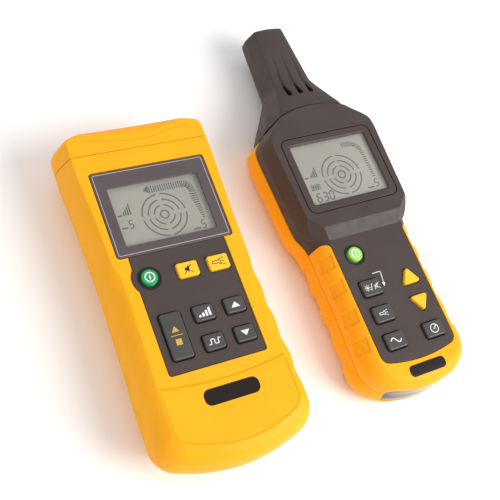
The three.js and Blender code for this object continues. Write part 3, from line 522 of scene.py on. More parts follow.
def tx_outline(z, wall=0.0):
    """Outline of the transmitter at one height, anticlockwise from the bottom left corner."""
    columns = TX_UPPER, TX_GRIP, TX_TOP, TX_RISE, TX_DIP, TX_BOTTOM, TX_BOW, TX_CORNER, TX_END_CORNER
    values = (float(smooth(TX_Z, column, z)) for column in columns)
    upper, grip, top, rise, dip, bottom, bow, r, end_r = values
    low, high = bottom + bow, top
    arc = np.radians(np.linspace(0, 90, TX_CORNER_PARTS + 1))
    side = np.linspace(low + r, high - end_r, TX_SIDE_PARTS)[1:-1]
    end = np.linspace(-1, 1, TX_END_PARTS)[1:-1]
    parts = [
        np.stack([-grip + r - r * np.cos(arc), low + r - r * np.sin(arc)], 1),
        np.stack([end * (grip - r), np.full(len(end), low)], 1),
        np.stack([grip - r + r * np.sin(arc), low + r - r * np.cos(arc)], 1),
        np.stack([np.full(len(side), grip), side], 1),
        np.stack([upper - end_r + end_r * np.cos(arc), high - end_r + end_r * np.sin(arc)], 1),
        np.stack([-end * (upper - end_r), np.full(len(end), high)], 1),
        np.stack([-upper + end_r - end_r * np.sin(arc), high - end_r + end_r * np.cos(arc)], 1),
        np.stack([np.full(len(side), -grip), side[::-1]], 1),
    ]
    points = np.vstack(parts)
    x, y = points[:, 0].copy(), points[:, 1].copy()
    on_side = np.abs(np.abs(x) - grip) < 1e-6
    x = np.where(on_side, np.sign(x) * (grip + (upper - grip) * ramp(11.5, 20.5, y)), x)
    reach = np.clip(1 - ((y - 10) / 62) ** 2, 0, None)
    waves = 0.5 + 0.5 * np.cos((y - 2) / 19.5 * 2 * math.pi)
    scallop = 1.0 * waves * window(-62, 6, 6, y) * window(30, 37.5, 3.5, z)
    inward = (1.6 * reach + scallop) * (np.abs(x) / grip) ** 6
    x -= np.sign(x) * inward
    across = 1 - (points[:, 0] / max(grip, 1)) ** 2
    far = np.abs(x)
    y = np.where(y > high - end_r, y + rise * (1 - ramp(29, 41, far)) - dip * (1 - ramp(3, 30, far)), y)
    y = np.where(points[:, 1] < low + r, y - bow * across, y)
    outline = np.stack([x, y], 1)
    return outward(outline, -wall) if wall else outline


TX_FRONT_HEIGHTS = [*np.linspace(27.2, 41, 22), 41.3, 41.6, 41.9, 42.1, 42.25, 42.35, 42.43, 42.5]
TX_BACK_HEIGHTS = [0, 0.15, 0.4, 0.8, 1.4, *np.linspace(2.5, 25, 15)]


def end_rim(obj, y, side):
    """Trims a body at a plane across Y and rounds the trimmed edge. side is +1 to keep what lies beyond y."""
    mesh = bmesh.new()
    mesh.from_mesh(obj.data)
    for level in (y + side * RIM, y + side * RIM * 0.3):
        bmesh.ops.bisect_plane(mesh, geom=mesh.verts[:] + mesh.edges[:] + mesh.faces[:],
                               plane_co=(0, level, 0), plane_no=(0, 1, 0), dist=1e-5)
    cut = bmesh.ops.bisect_plane(mesh, geom=mesh.verts[:] + mesh.edges[:] + mesh.faces[:], plane_co=(0, y, 0),
                                 plane_no=(0, -side, 0), clear_outer=True, dist=1e-5)
    rim = [e for e in cut["geom_cut"] if isinstance(e, bmesh.types.BMEdge)]
    mesh.normal_update()
    for vertex in {v for e in rim for v in e.verts}:
        normal = Vector((vertex.normal.x, 0, vertex.normal.z))
        if normal.length > 1e-6:
            vertex.co -= normal.normalized() * RIM
    for vertex in mesh.verts:
        if abs(vertex.co.y - (y + side * RIM * 0.3)) < 1e-4:
            normal = Vector((vertex.normal.x, 0, vertex.normal.z))
            if normal.length > 1e-6:
                vertex.co -= normal.normalized() * RIM * 0.3
    bmesh.ops.holes_fill(mesh, edges=rim, sides=0)
    bmesh.ops.recalc_face_normals(mesh, faces=mesh.faces[:])
    mesh.to_mesh(obj.data)
    mesh.free()


WALL = 2.4                    # thickness of the shells' walls


def hollow_tx(z0, z1, y0=-200.0, y1=200.0):
    """The space inside the transmitter between two heights."""
    core = loft([ring(tx_outline(z, WALL), z) for z in np.linspace(z0, z1, 9)])
    return combine(core, [block(-60, 60, y0, y1, z0 - 1, z1 + 1)], "INTERSECT")


# ------------------------------------------------------------------ transmitter front

PLATEAU_Z = 42.5
BEZEL_RECT = (-32.7, 22.6, 32.7, 72.0)
LCD_RECT = (-25.6, 28.6, 25.6, 62.0)
PANEL_RECT = (-27.1, -42.9, 27.1, 22.2)
PANEL_Z = 41.9
BEZEL_Z = 42.1
LEDGE_Z = 40.75
FOOT = [(LEDGE_Z + 0.2, 0.3), (LEDGE_Z + 0.6, 0.3), (LEDGE_Z + 0.65, -0.05)]   # dark foot under a plate
POWER = (-20.1, 9.1)
POWER_KEY = 4.4               # radius of both power keys
WELL_RADIUS = 6.4


def tx_panel_outline():
    """The keypad panel's outline with its round bulge beside the power key."""
    x0, y0, x1, y1 = PANEL_RECT
    bulge = 9.2
    meet = math.degrees(math.acos((POWER[0] - x0) / bulge))
    left = arc_path(POWER[0], POWER[1], bulge, 180 - meet, 180 + meet, 24)
    blend = 0.6
    left[0] += (0, blend)
    left[-1] -= (0, blend)
    box = rounded_rect(x0, y0, x1, y1, 1.3, 5)
    return np.vstack([box[:18], left, box[18:]])


def crease(path, width, depth):
    """Cutter for a fine V groove pressed into the plateau along a path."""
    path = np.array(path, float)
    along = np.gradient(path, axis=0)
    along /= np.linalg.norm(along, axis=1)[:, None]
    side = np.stack([along[:, 1], -along[:, 0]], 1)
    mouth, edge = PLATEAU_Z + 0.6, PLATEAU_Z + 0.02
    section = [(width, mouth), (width / 2, edge), (0, PLATEAU_Z - depth), (-width / 2, edge), (-width, mouth)]
    return loft([np.array([(*(p + s * u), h) for u, h in section]) for p, s in zip(path, side)])


tx_front = skin(tx_outline, [TX_PARTING + SEAM, *TX_FRONT_HEIGHTS], rim_low=RIM)
groove_x = np.linspace(-34.9, 34.9, 41)
cross_groove = crease([(x, -50.8 + 3.0 * (x / 34.7) ** 2) for x in groove_x], 1.1, 0.7)
for outline in (rounded_rect(*BEZEL_RECT, 1.6), tx_panel_outline()):
    combine(tx_front, [prism(outline, [(LEDGE_Z, 0.5), *lip(PLATEAU_Z, 0.25, 0.5)])])
combine(tx_front, [cross_groove])
plateau = tx_outline(PLATEAU_Z, 0.8)
lower_edge = plateau[plateau[:, 1] < -49.5]
widest_gap = int(np.argmax(np.linalg.norm(np.diff(lower_edge, axis=0), axis=1)))
lower_edge = np.roll(lower_edge, -widest_gap - 1, axis=0)
combine(tx_front, [crease(resample(lower_edge, 150), 0.6, 0.34)])
combine(tx_front, [hollow_tx(20, 39.8)])
end_rim(tx_front, TX_CAP - SEAM, -1)
combine(tx_front, [block(-26, 26, -41, 27, 30, 41), block(-29.5, 29.5, 25, 69.5, 30, 41)])
finish_node(tx_front, "tx_front_shell", YELLOW)

tx_back = skin(tx_outline, [*TX_BACK_HEIGHTS, TX_PARTING - SEAM], rim_high=RIM)
combine(tx_back, [hollow_tx(3, 30)])
end_rim(tx_back, TX_CAP - SEAM, -1)
DOOR_TX, DOOR_CORNER = (-17, -74, 17, -13), 4
BOSSES_TX = [(-28, 72), (28, 72), (-28, -64), (28, -64)]


def screw_sink(x, y, top):
    """Cutter for a screw's sunk hole, its mouth rounded at the back face."""
    mouth = [(-1, 3.9), (0, 3.6), (0.2, 3.2), (0.5, 3.0), (top, 3.0)]
    return loft([ring(circle(x, y, radius), z) for z, radius in mouth])


def door_recess(rect):
    mouth = [(-1, 0.75), (0, 0.75), (0.15, 0.5), (0.45, 0.35), (1.7, 0.35)]
    return prism(rounded_rect(*rect, DOOR_CORNER), mouth)


for centre in BOSSES_TX:
    combine(tx_back, [post(*centre, 4.1, 1, TX_PARTING - SEAM)], "UNION")
combine(tx_back, [screw_sink(*c, 5.2) for c in BOSSES_TX])
combine(tx_back, [door_recess(DOOR_TX)])
combine(tx_back, [prism(rounded_rect(-15, -72, 15, -15, 3), [(-1, 0), (4, 0)])])
finish_node(tx_back, "tx_back_shell", YELLOW)


def battery_door(unit, rect):
    """Battery cover with a finger grip of raised ribs, an arrow and a sunk hole for its screw."""
    _, y0, _, y1 = rect
    door = prism(rounded_rect(*rect, DOOR_CORNER), [*rounded_bottom(0, 0.4), (1.4, 0)])
    sink = [(-1, 3.6), (0, 3.4), (0.25, 3.05), (3, 3.0)]
    cutters = [loft([ring(circle(0, y1 - 5, r), z) for z, r in sink])]
    for i in range(6):
        y = y0 + 7 + i * 2.6
        cutters.append(prism(rounded_rect(-8, y, 8, y + 1.2, 0.59, 4), [(-1, 0.2), (0, 0.2), (0.45, -0.1)]))
    arrow = rounded_polygon([(4, y0 + 26), (0, y0 + 32), (-4, y0 + 26)], 0.5)
    cutters.append(prism(arrow, [(-1, 0.15), (0, 0.15), (0.4, -0.1)]))
    finish_node(combine(door, cutters), f"{unit}_battery_door", YELLOW)


battery_door("tx", DOOR_TX)

# ------------------------------------------------------------------ blank labels


def blank_badge(name, rect, radius, outline_at, heights):
    """Thin blank plate that follows the skin it sits on."""
    plate = prism(rounded_rect(*rect, radius, 8), [(25, 0), (50, 0)])
    combine(plate, [moved(skin(outline_at, heights), Matrix.Translation((0, 0, 0.1)))], "INTERSECT")
    combine(plate, [moved(skin(outline_at, heights), Matrix.Translation((0, 0, -0.05)))])
    finish_piece(plate, name, BADGE, weighted=False)


blank_badge("tx_blank_badge", (-14.4, -62.9, 16.4, -54.4), 3.6, tx_outline, [30, *TX_FRONT_HEIGHTS[-12:]])

# ------------------------------------------------------------------ screws


def screw(node, x, y, head_z, length, height=1.7):
    """Pan-head screw with a cross recess, its head facing the back, threaded along its shank."""
    radius, top = 2.6, head_z + height
    profile = [(0.001, head_z), (radius * 0.55, head_z), (radius * 0.85, head_z + 0.22),
               (radius, head_z + 0.75), (radius, top - 0.1), (radius - 0.1, top), (1.1, top + 0.01)]
    pitch = 0.9
    z = top + 0.5
    while z < head_z + length - 1.2:
        profile += [(1.0, z), (1.3, z + pitch / 2)]
        z += pitch
    profile += [(0.9, head_z + length - 0.8), (0.001, head_z + length)]
    turned = moved(lathe(profile, 28), Matrix.Translation((x, y, 0)))
    combine(turned, [block(x - a, x + a, y - b, y + b, head_z - 1, head_z + 0.9)
                     for a, b in ((1.5, 0.32), (0.32, 1.5))])
    finish_node(turned, node, STEEL, "turned")


for i, (x, y) in enumerate(BOSSES_TX, 1):
    screw(f"tx_case_screw_{i}", x, y, 3.0, 28)
screw("tx_door_screw", 0, -18, 0.4, 8.5, 1.0)

# ------------------------------------------------------------------ end cap, sockets, torch

SOCKET_X, SOCKET_Z, SOCKET_FACE = 11.0, 20.0, 98.2
TORCH_Z = 33.0

tx_cap = skin(tx_outline, [*TX_BACK_HEIGHTS, *TX_FRONT_HEIGHTS])
combine(tx_cap, [hollow_tx(3, 39.6, 60, 94.0)])
end_rim(tx_cap, TX_CAP + SEAM, 1)
far_edge = tx_outline(PLATEAU_Z, 3.0)
far_edge = far_edge[(far_edge[:, 1] > 86) & (np.abs(far_edge[:, 0]) < 32)]
far_edge = far_edge[np.argsort(far_edge[:, 0])]
combine(tx_cap, [crease(resample(far_edge, 60), 0.8, 0.5)])


def along_y_cutter(x, z, steps):
    """Round cutter along Y from (y, radius) steps."""
    return laid_along_y(loft([ring(circle(0, 0, r), y) for y, r in steps]), x, z)


socket_hole = [(80, 5.5), (97.6, 5.5), (98.2, 5.9), (110, 7)]
combine(tx_cap, [along_y_cutter(x, SOCKET_Z, socket_hole) for x in (-SOCKET_X, SOCKET_X)]
        + [along_y_cutter(0, TORCH_Z, [(80, 4.5), (97.5, 4.5), (98.4, 5.2), (110, 6)])])
finish_node(tx_cap, "tx_end_cap", YELLOW)


def socket(node, x, material):
    """Shrouded 4 mm test socket: a plastic barrel round a split brass contact."""
    f = SOCKET_FACE
    profile = [(0.001, 84.6), (5.0, 84.6), (5.2, 84.9), (5.2, f - 0.5), (5.05, f - 0.15), (4.7, f), (4.2, f),
               (3.9, f - 0.15), (3.75, f - 0.5), (3.75, 87.5), (2.6, 87.3), (2.6, 95.0), (2.45, 95.2),
               (2.1, 95.2), (2.0, 95.0), (2.0, 88.2), (0.001, 88.0)]
    piece = finish_node(laid_along_y(lathe(profile), x, SOCKET_Z), node, material, "barrel")
    piece.data.materials.append(BRASS)
    contact_radius, contact_base = 2.7 * MM, (PLACE["tx"] @ Vector((0, 87, 0))).y
    centre = PLACE["tx"] @ Vector((x, 0, SOCKET_Z))
    for face in piece.data.polygons:
        from_axis = math.hypot(face.center.x - centre.x, face.center.z - centre.z)
        if from_axis < contact_radius and face.center.y > contact_base:
            face.material_index = 1


socket("tx_socket_signal", -SOCKET_X, RED_PLASTIC)
socket("tx_socket_earth", SOCKET_X, BLACK_PLASTIC)


def torch_lens(node, z, base, face, radius):
    """Clear lamp lens with a rounded front and a stepped rim."""
    angles = np.radians(np.linspace(20, 88, 9))
    dome = [(radius * math.cos(a), face - 1.2 + 1.2 * math.sin(a)) for a in angles]
    profile = [(0.001, base), (radius - 0.3, base), (radius, base + 0.3), (radius, face - 1.3), *dome,
               (0.001, face)]
    finish_node(laid_along_y(lathe(profile), 0, z), node, LENS)


torch_lens("tx_torch_lens", TORCH_Z, 90, 97, 4.2)

# ------------------------------------------------------------------ transmitter display

bezel = prism(rounded_rect(*BEZEL_RECT, 1.4), [*FOOT, *rounded_top(BEZEL_Z, 0.35, 0, 4)])
combine(bezel, [prism(rounded_rect(*LCD_RECT, 0.7), [(LEDGE_Z - 1, 0.35), *lip(BEZEL_Z, 0.25, 0.35)])])
finish_node(bezel, "tx_display_bezel", BEZEL, "plate")


def bezel_line(margin, radius, width):
    """Thin light line that runs round the bezel inside its edge: a painted highlight for the light caught
    along the bezel's rounded edge.
    """
    x0, y0, x1, y1 = BEZEL_RECT
    outer = rounded_rect(x0 + margin, y0 + margin, x1 - margin, y1 - margin, radius)
    inner = outward(outer, -width)
    low, high = BEZEL_Z - 0.05, BEZEL_Z + 0.03
    rings = [ring(inner, low), ring(outer, low), ring(outer, high), ring(inner, high)]
    count = len(outer)
    faces = []
    for level in range(4):
        for i in range(count):
            a, b = level * count + i, level * count + (i + 1) % count
            up = (level + 1) % 4 * count - level * count
            faces.append((a, b, b + up, a + up))
    finish_piece(new_object("line", np.vstack(rings), faces), "tx_bezel_line", BEZEL_PAINTED_HIGHLIGHT, weighted=False)


# Painted highlight round the bezel's edge.
bezel_line(1.1, 0.9, 0.28)


def rings_and_bars(cx, cy, radii, width):
    """Target of broken rings."""
    outlines = []
    for radius in radii:
        gap = math.degrees(1.1 / radius)
        for quarter in range(4):
            start = quarter * 90 + gap
            outlines.append(stroke(arc_path(cx, cy, radius, start, start + 90 - 2 * gap, 14), width))
    return outlines


def small_ring(cx, cy, radius, width):
    return [stroke(arc_path(cx, cy, radius, start, start + 180, 16), width) for start in (0, 180)]


def level_bars(x, y, pitch, width, heights):
    """Bars side by side with slanting tops, like a signal meter."""
    bars = [(x + i * pitch, h) for i, h in enumerate(heights)]
    return [np.array([(a, y), (a + width, y), (a + width, y + h), (a, y + h * 0.86)]) for a, h in bars]


def scale_ticks(path, lengths, width):
    """Short slanting strokes across a path, like a bar graph's segments."""
    path = np.array(path, float)
    along = np.gradient(path, axis=0)
    along /= np.linalg.norm(along, axis=1)[:, None]
    side = np.stack([along[:, 1], -along[:, 0]], 1)
    return [stroke([p, p + s * length], width) for p, s, length in zip(path, side, lengths)]


SEGMENTS = {"0": "abcdef", "3": "abcdg", "5": "acdfg", "6": "acdefg"}


def digit(char, x, y, w, h, width):
    """Seven-segment digit with its lower left corner at (x, y), leaning a little."""
    lean = 0.12
    ends = {"a": ((0, h), (w, h)), "b": ((w, h / 2), (w, h)), "c": ((w, 0), (w, h / 2)),
            "d": ((0, 0), (w, 0)), "e": ((0, 0), (0, h / 2)), "f": ((0, h / 2), (0, h)),
            "g": ((0, h / 2), (w, h / 2))}
    outlines = []
    for name in SEGMENTS[char]:
        a, b = (np.array(p, float) for p in ends[name])
        step = (b - a) / np.linalg.norm(b - a) * width * 0.4
        line = np.array([a + step, b - step])
        line[:, 0] += line[:, 1] * lean
        outlines.append(stroke(line + (x, y), width))
    return outlines


def dash(x, y, length, width):
    return [stroke([(x, y), (x + length, y)], width)]


def display_marks(name, outlines, z):
    finish_piece(flat_marks(outlines, z - 0.04, z + 0.06), name, SEGMENT, weighted=False)


tick_path = resample([(-2.4, 60.4), (17.0, 60.4), (20.2, 59.4), (22.2, 57.0), (22.9, 54.0), (22.9, 37.0)], 36)
tick_length = [3.9 if i < 27 else 3.9 - 0.28 * (i - 26) for i in range(36)]
tx_marks = rings_and_bars(1.25, 42.9, (12.3, 8.9, 5.6), 0.72) + small_ring(1.25, 42.9, 2.3, 0.72)
tx_marks += level_bars(-20.9, 46.6, 1.25, 0.8, (2.2, 3.6, 5.2, 7.0))
tx_marks += scale_ticks(tick_path, tick_length, 0.6)
tx_marks += [np.array([(-6.0, 58.7), (-3.0, 56.5), (-3.0, 60.9)])]
tx_marks += digit("5", -19.6, 39.0, 2.0, 4.4, 0.6) + digit("5", 19.2, 30.6, 2.2, 4.6, 0.6)
tx_marks += dash(-24.2, 46.9, 2.6, 0.9) + dash(-24.0, 39.6, 3.4, 0.9) + dash(14.2, 31.1, 4.0, 0.9)
display_marks("tx_display_marks", tx_marks, 39.0)

# ------------------------------------------------------------------ keys and their prints

KEY_ROUND = 0.85
KEY_TOP = {"tx": 43.5, "rx": 36.0}
KEY_SKIRT = {"tx": 38.4, "rx": 30.2}


def key(node, outline, marks, material, ink):
    """Key with softly rounded top edges, slightly drafted sides and a symbol printed on its top."""
    top, skirt = KEY_TOP[node[:2]], KEY_SKIRT[node[:2]]
    profile = [(skirt, 0.12), (skirt + 0.2, 0.2), (top - KEY_ROUND * 1.7, 0.1),
               *rounded_top(top, KEY_ROUND, 0.05, 7)]
    finish_node(prism(outline, profile), node, material, "cap", body=node)
    if marks:
        print_on(f"{node}_print", marks, top, ink, node)


def print_on(name, outlines, top, material, body=None):
    finish_piece(flat_marks(outlines, top - 0.05, top + 0.035), name, material, body, weighted=False)


def key_rect(x, y, w, h):
    return rounded_rect(x - w / 2, y - h / 2, x + w / 2, y + h / 2, 1.3, 6)


def triangle(x, y, half, height, way, radius=0.0):
    corners = [(x - half, y - way * height / 2), (x + half, y - way * height / 2), (x, y + way * height / 2)]
    corners = corners if way > 0 else corners[::-1]
    return rounded_polygon(corners, radius) if radius else np.array(corners)


def power_mark(x, y, size):
    return small_ring(x, y, size, 0.62) + [stroke([(x, y - size * 0.5), (x, y + size * 0.5)], 0.62)]


def speaker_mark(x, y, s):
    horn = np.array([(x - 1.5, y - 0.6), (x - 0.6, y - 0.6), (x + 0.5, y - 1.7), (x + 0.5, y + 1.7),
                     (x - 0.6, y + 0.6), (x - 1.5, y + 0.6)])
    horn = (horn - (x, y)) * s + (x, y)
    cross = [stroke([(x - 2.0 * s, y - 1.9 * s), (x + 1.9 * s, y + 1.9 * s)], 0.34 * s),
             stroke([(x + 1.9 * s, y - 1.9 * s), (x + 1.0 * s, y - 1.0 * s)], 0.34 * s)]
    return [horn] + cross


def torch_mark(x, y, s):
    body = [(x - 3.0 * s, y - 0.6 * s), (x - 0.2 * s, y - 0.6 * s), (x + 0.9 * s, y - 1.5 * s),
            (x + 0.9 * s, y + 1.5 * s), (x - 0.2 * s, y + 0.6 * s), (x - 3.0 * s, y + 0.6 * s)]
    outline = [stroke([a, b], 0.34 * s) for a, b in zip(body, body[1:] + body[:1])]
    rays = [stroke([(x + 1.6 * s, y + k * 1.3 * s), (x + 2.7 * s, y + k * 1.7 * s)], 0.34 * s)
            for k in (-1, 0, 1)]
    return outline + rays


def sun_mark(x, y, s):
    marks = [circle(x, y, 0.75 * s, 20)]
    for k in range(8):
        a = k * math.pi / 4
        inner, outer = 1.15 * s, 1.85 * s
        marks.append(stroke([(x + inner * math.cos(a), y + inner * math.sin(a)),
                             (x + outer * math.cos(a), y + outer * math.sin(a))], 0.32 * s))
    return marks


def wave_mark(x, y):
    width, height, t = 7.0, 3.0, np.linspace(0, 1, 25)
    return [stroke(np.stack([x - width / 2 + width * t, y + height / 2 * np.sin(2 * math.pi * t)], 1), 0.6)]


def square_wave_mark(x, y):
    path = [(x - 3.4, y - 1.3), (x - 2.0, y - 1.3), (x - 2.0, y + 1.3), (x, y + 1.3), (x, y - 1.3),
            (x + 2.0, y - 1.3), (x + 2.0, y + 1.3), (x + 3.4, y + 1.3)]
    joints = [circle(px, py, 0.275, 10) for px, py in path]
    return [stroke([a, b], 0.55) for a, b in zip(path, path[1:])] + joints


TX_SMALL = (11.2, 8.4)
tx_keys = {
    "tx_mute_key": ((1.1, 8.7, 11.8, 8.2), YELLOW_KEY, speaker_mark(1.1, 8.7, 1.25), DARK_PRINT),
    "tx_torch_key": ((18.8, 8.7, 11.8, 8.2), YELLOW_KEY, torch_mark(18.8, 8.7, 1.2), DARK_PRINT),
    "tx_level_key": ((1.1, -16, *TX_SMALL), DARK_KEY,
                     level_bars(-2.3, -18.2, 1.9, 1.2, (1.2, 2.2, 3.3, 4.6)), WHITE_PRINT),
    "tx_up_key": ((18.8, -16, *TX_SMALL), DARK_KEY, [triangle(18.8, -16, 2.5, 3.0, 1)], WHITE_PRINT),
    "tx_code_key": ((1.1, -32, *TX_SMALL), DARK_KEY, square_wave_mark(1.1, -32), WHITE_PRINT),
    "tx_down_key": ((18.8, -32, *TX_SMALL), DARK_KEY, [triangle(18.8, -32, 2.5, 3.0, -1)], WHITE_PRINT),
    "tx_start_stop_key": ((-17, -24, 11.4, 24.8), DARK_KEY,
                          [triangle(-17, -20.6, 2.0, 3.2, 1), *dash(-20.2, -24, 6.4, 0.4),
                           np.array([(-18.6, -29.2), (-15.4, -29.2), (-15.4, -26.0), (-18.6, -26.0)])],
                          GOLD_PRINT),
}
panel = prism(tx_panel_outline(), [*FOOT, *rounded_top(PANEL_Z, 0.2, 0, 3)])
HOLE = 0.6
cutters = []
for row in tx_keys.values():
    cutters.append(prism(key_rect(*row[0]), [(LEDGE_Z - 1, HOLE), *lip(PANEL_Z, 0.35, HOLE)]))
cutters.append(prism(circle(*POWER, POWER_KEY), [(LEDGE_Z - 1, HOLE), (PANEL_Z + 1, HOLE)]))
combine(panel, cutters)
combine(panel, [prism(circle(*POWER, WELL_RADIUS, 64), [(PANEL_Z - 0.7, -0.2), *lip(PANEL_Z, 0.4, 0)])])
finish_node(panel, "tx_keypad_panel", PANEL, "plate")


def painted_shade_ring(name, x, y, z):
    """Dark floor of the round well that a power key stands in: a thin near-black ring of painted shade."""
    shade_ring = prism(circle(x, y, WELL_RADIUS - 0.25, 64), [(z - 0.05, 0), (z + 0.05, 0)])
    combine(shade_ring, [post(x, y, POWER_KEY + HOLE, z - 1, z + 1, 64)])
    finish_piece(shade_ring, name, PAINTED_WELL_SHADE)


# Painted shade on the floor of the transmitter's power key well.
painted_shade_ring("tx_power_well", *POWER, PANEL_Z - 0.7)
for node, (place_and_size, material, marks, ink) in tx_keys.items():
    key(node, key_rect(*place_and_size), marks, material, ink)
key("tx_power_key", circle(*POWER, POWER_KEY, 64), power_mark(*POWER, 2.5), GREEN_KEY, WHITE_PRINT)

# ------------------------------------------------------------------ receiver body

RX_PARTING = 19.5
RX_HALF = [(0, -135.6), (12, -134.4), (22.5, -131.2), (30.6, -125), (34.2, -116.5), (34.2, -105), (33, -81),
           (33.2, -58), (32.8, -46), (33.6, -38), (36.8, -30), (37.7, -22), (38, -7), (38.5, 12), (38.7, 23),
           (36.9, 30.5), (28, 38.5), (20, 44), (0, 48)]
RX_HEAD_HALF = [(0, -41), (22, -40.6), (31.5, -37.4), (36.4, -30), (37.6, -22), (38, -7), (38.5, 12),
                (38.7, 23), (36.9, 30.5), (28, 38.5), (20, 44), (0, 48)]
RX_Z = (0, 0.5, 2.5, 9, 13.5, 19.5, 24.5, 29.5, 32.6, 33.7, 34.2, 34.5)
RX_ACROSS = (7.2, 5.0, 2.6, -1.7, -2.3, 0, 0.3, 2.2, 4.8, 6.4, 7.4, 8.4)
RX_END = (7.2, 5.2, 2.8, -0.3, -0.7, 0, 0.3, 1.4, 3.3, 4.7, 5.7, 6.8)
PAD_CENTRES = (-52.0, -67.8, -85.8, -103.0)
SEAM_RADIUS, SEAM_Y = 64.0, -20.0


def through(points, count):
    """Smooth curve through the points of a half outline that starts and ends square to the middle line."""
    p = np.array(points, float)
    padded = np.vstack([p[1] * (-1, 1), p, p[-2] * (-1, 1)])
    t = np.linspace(0, 1, 14, endpoint=False)[:, None]
    dense = [0.5 * (2 * b + (c - a) * t + (2 * a - 5 * b + 4 * c - d) * t**2 + (3 * b - a - 3 * c + d) * t**3)
             for a, b, c, d in zip(padded, padded[1:], padded[2:], padded[3:])]
    return resample(np.vstack(dense + [p[-1:]]), count)


def mirrored(half):
    return np.vstack([half, (half[1:-1] * (-1, 1))[::-1]])


def inward_normals(outline):
    along = np.roll(outline, -1, 0) - np.roll(outline, 1, 0)
    along /= np.linalg.norm(along, axis=1)[:, None]
    return np.stack([-along[:, 1], along[:, 0]], 1)


RX_BASE = mirrored(through(RX_HALF, 440))
RX_NORMAL = inward_normals(RX_BASE)
HEAD_BASE = mirrored(through(RX_HEAD_HALF, 170))
HEAD_NORMAL = inward_normals(HEAD_BASE)


def inset(base, normal, across, end):
    move = np.where(normal[:, 1] > 0, end, across)
    return base + np.stack([normal[:, 0] * across, normal[:, 1] * move], 1)


def rx_outline(z, wall=0.0):
    """Outline of the receiver's body at one height, with its grip pads and fluted sides pressed in."""
    across, end = float(smooth(RX_Z, RX_ACROSS, z)), float(smooth(RX_Z, RX_END, z))
    outline = inset(RX_BASE, RX_NORMAL, across + wall, end + wall)
    if wall:
        return outline
    facing = ramp(0.6, 0.9, np.abs(RX_NORMAL[:, 0]))
    pads = sum(window(y - 3.9, y + 3.9, 0.55, RX_BASE[:, 1]) for y in PAD_CENTRES)
    flutes = sum(window(y - 3.0, y + 3.0, 2.6, RX_BASE[:, 1]) for y in PAD_CENTRES)
    depth = pads * window(24.7, 33.0, 0.4, z) * 1.15 + flutes * window(3.5, 15.5, 3, z) * 1.1
    return outline + RX_NORMAL * (facing * depth)[:, None]


def rx_hollow(z0, z1):
    return loft([ring(rx_outline(z, WALL), z) for z in np.linspace(z0, z1, 7)])


def seam_cylinder(radius):
    return post(0, SEAM_Y, radius, -20, 80, 160)


def beyond_seam(radius):
    """Everything on the probe's side of the curved joint."""
    return combine(block(-90, 90, 0, 150, -15, 70), [seam_cylinder(radius)])


def rail_cutter(gap):
    """The space above the grip's two rounded rail tops."""
    x = np.concatenate([np.linspace(-60, -30.5, 6), np.linspace(-30, -25.3, 12), [-24, 24],
                        np.linspace(25.3, 30, 12), np.linspace(30.5, 60, 6)])
    reach = np.clip((30.5 - np.abs(x)) / 5.2, 0, 1)
    y = -41.4 - 4.4 * (1 - np.sqrt(1 - reach**2)) - 0.22 * np.clip(np.abs(x) - 30.5, 0, None) + gap
    outline = np.vstack([np.stack([x, y], 1), [(60, 60), (-60, 60)]])
    return prism(outline, [(0, 0), (60, 0)])


def rx_panel_outline(grow=0.0):
    """The keypad plate's outline, its near end bowed outwards."""
    x, y0, top, bow, corner = 25.2, -116.6, -36.0, 3.1, 5.0

    def bend(a, b, c, parts):
        t = np.linspace(0, 1, parts, endpoint=False)[:, None]
        a, b, c = (np.array(p, float) for p in (a, b, c))
        return (1 - t) ** 2 * a + 2 * t * (1 - t) * b + t**2 * c

    outline = np.vstack([
        bend((-x, y0 + corner), (-x, y0), (-x + corner, y0 - 0.8), 12),
        bend((-x + corner, y0 - 0.8), (0, y0 - 2 * bow + 0.8), (x - corner, y0 - 0.8), 30),
        bend((x - corner, y0 - 0.8), (x, y0), (x, y0 + corner), 12),
        [(x, y0 + corner), (x, top), (-x, top)]])
    return outward(outline, grow)


RX_FRONT_HEIGHTS = [*np.linspace(20.6, 33.8, 45), 34.05, 34.25, 34.4, 34.5]
RX_BACK_HEIGHTS = [0, 0.15, 0.4, 0.8, 1.4, 2.2, *np.linspace(3.2, 18.4, 18)]
RX_PANEL_Z = 34.3
RX_POWER = (-13.2, -52.5)
DOOR_RX = (-19, -126.5, 19, -26.5)
BOSSES_RX = [(-30.5, 22), (30.5, 22), (-28.9, -112), (28.9, -112)]


def insert_hole(grow, y0, y1):
    """Solid of the end insert's opening, lying along Y."""
    outline = rounded_rect(-24, -26, 24, -10, 5, 8)
    return laid_along_y(prism(outline, [(y0, grow), (y1, grow)]))


# Grip: the yellow U round the keypad.
grip = skin(rx_outline, [RX_PARTING + SEAM, *RX_FRONT_HEIGHTS], rim_low=RIM)
combine(grip, [rail_cutter(0.0)])
combine(grip, [prism(rx_panel_outline(), [(15, 0.3), *lip(34.5, 0.35, 0.3)])])
core = loft([ring(rx_outline(z, w), z) for z, w in ((15, 2.4), (24.5, 2.5), (28, 2.6), (31, 2.7))])
combine(grip, [core])
combine(grip, [insert_hole(0.3, -160, -120)])
for centre in BOSSES_RX[2:]:
    combine(grip, [post(*centre, 3.1, RX_PARTING + SEAM, 27.5)], "UNION")
combine(grip, [post(*centre, 1.5, 10, 26.2) for centre in BOSSES_RX[2:]])
finish_node(grip, "rx_grip", YELLOW)

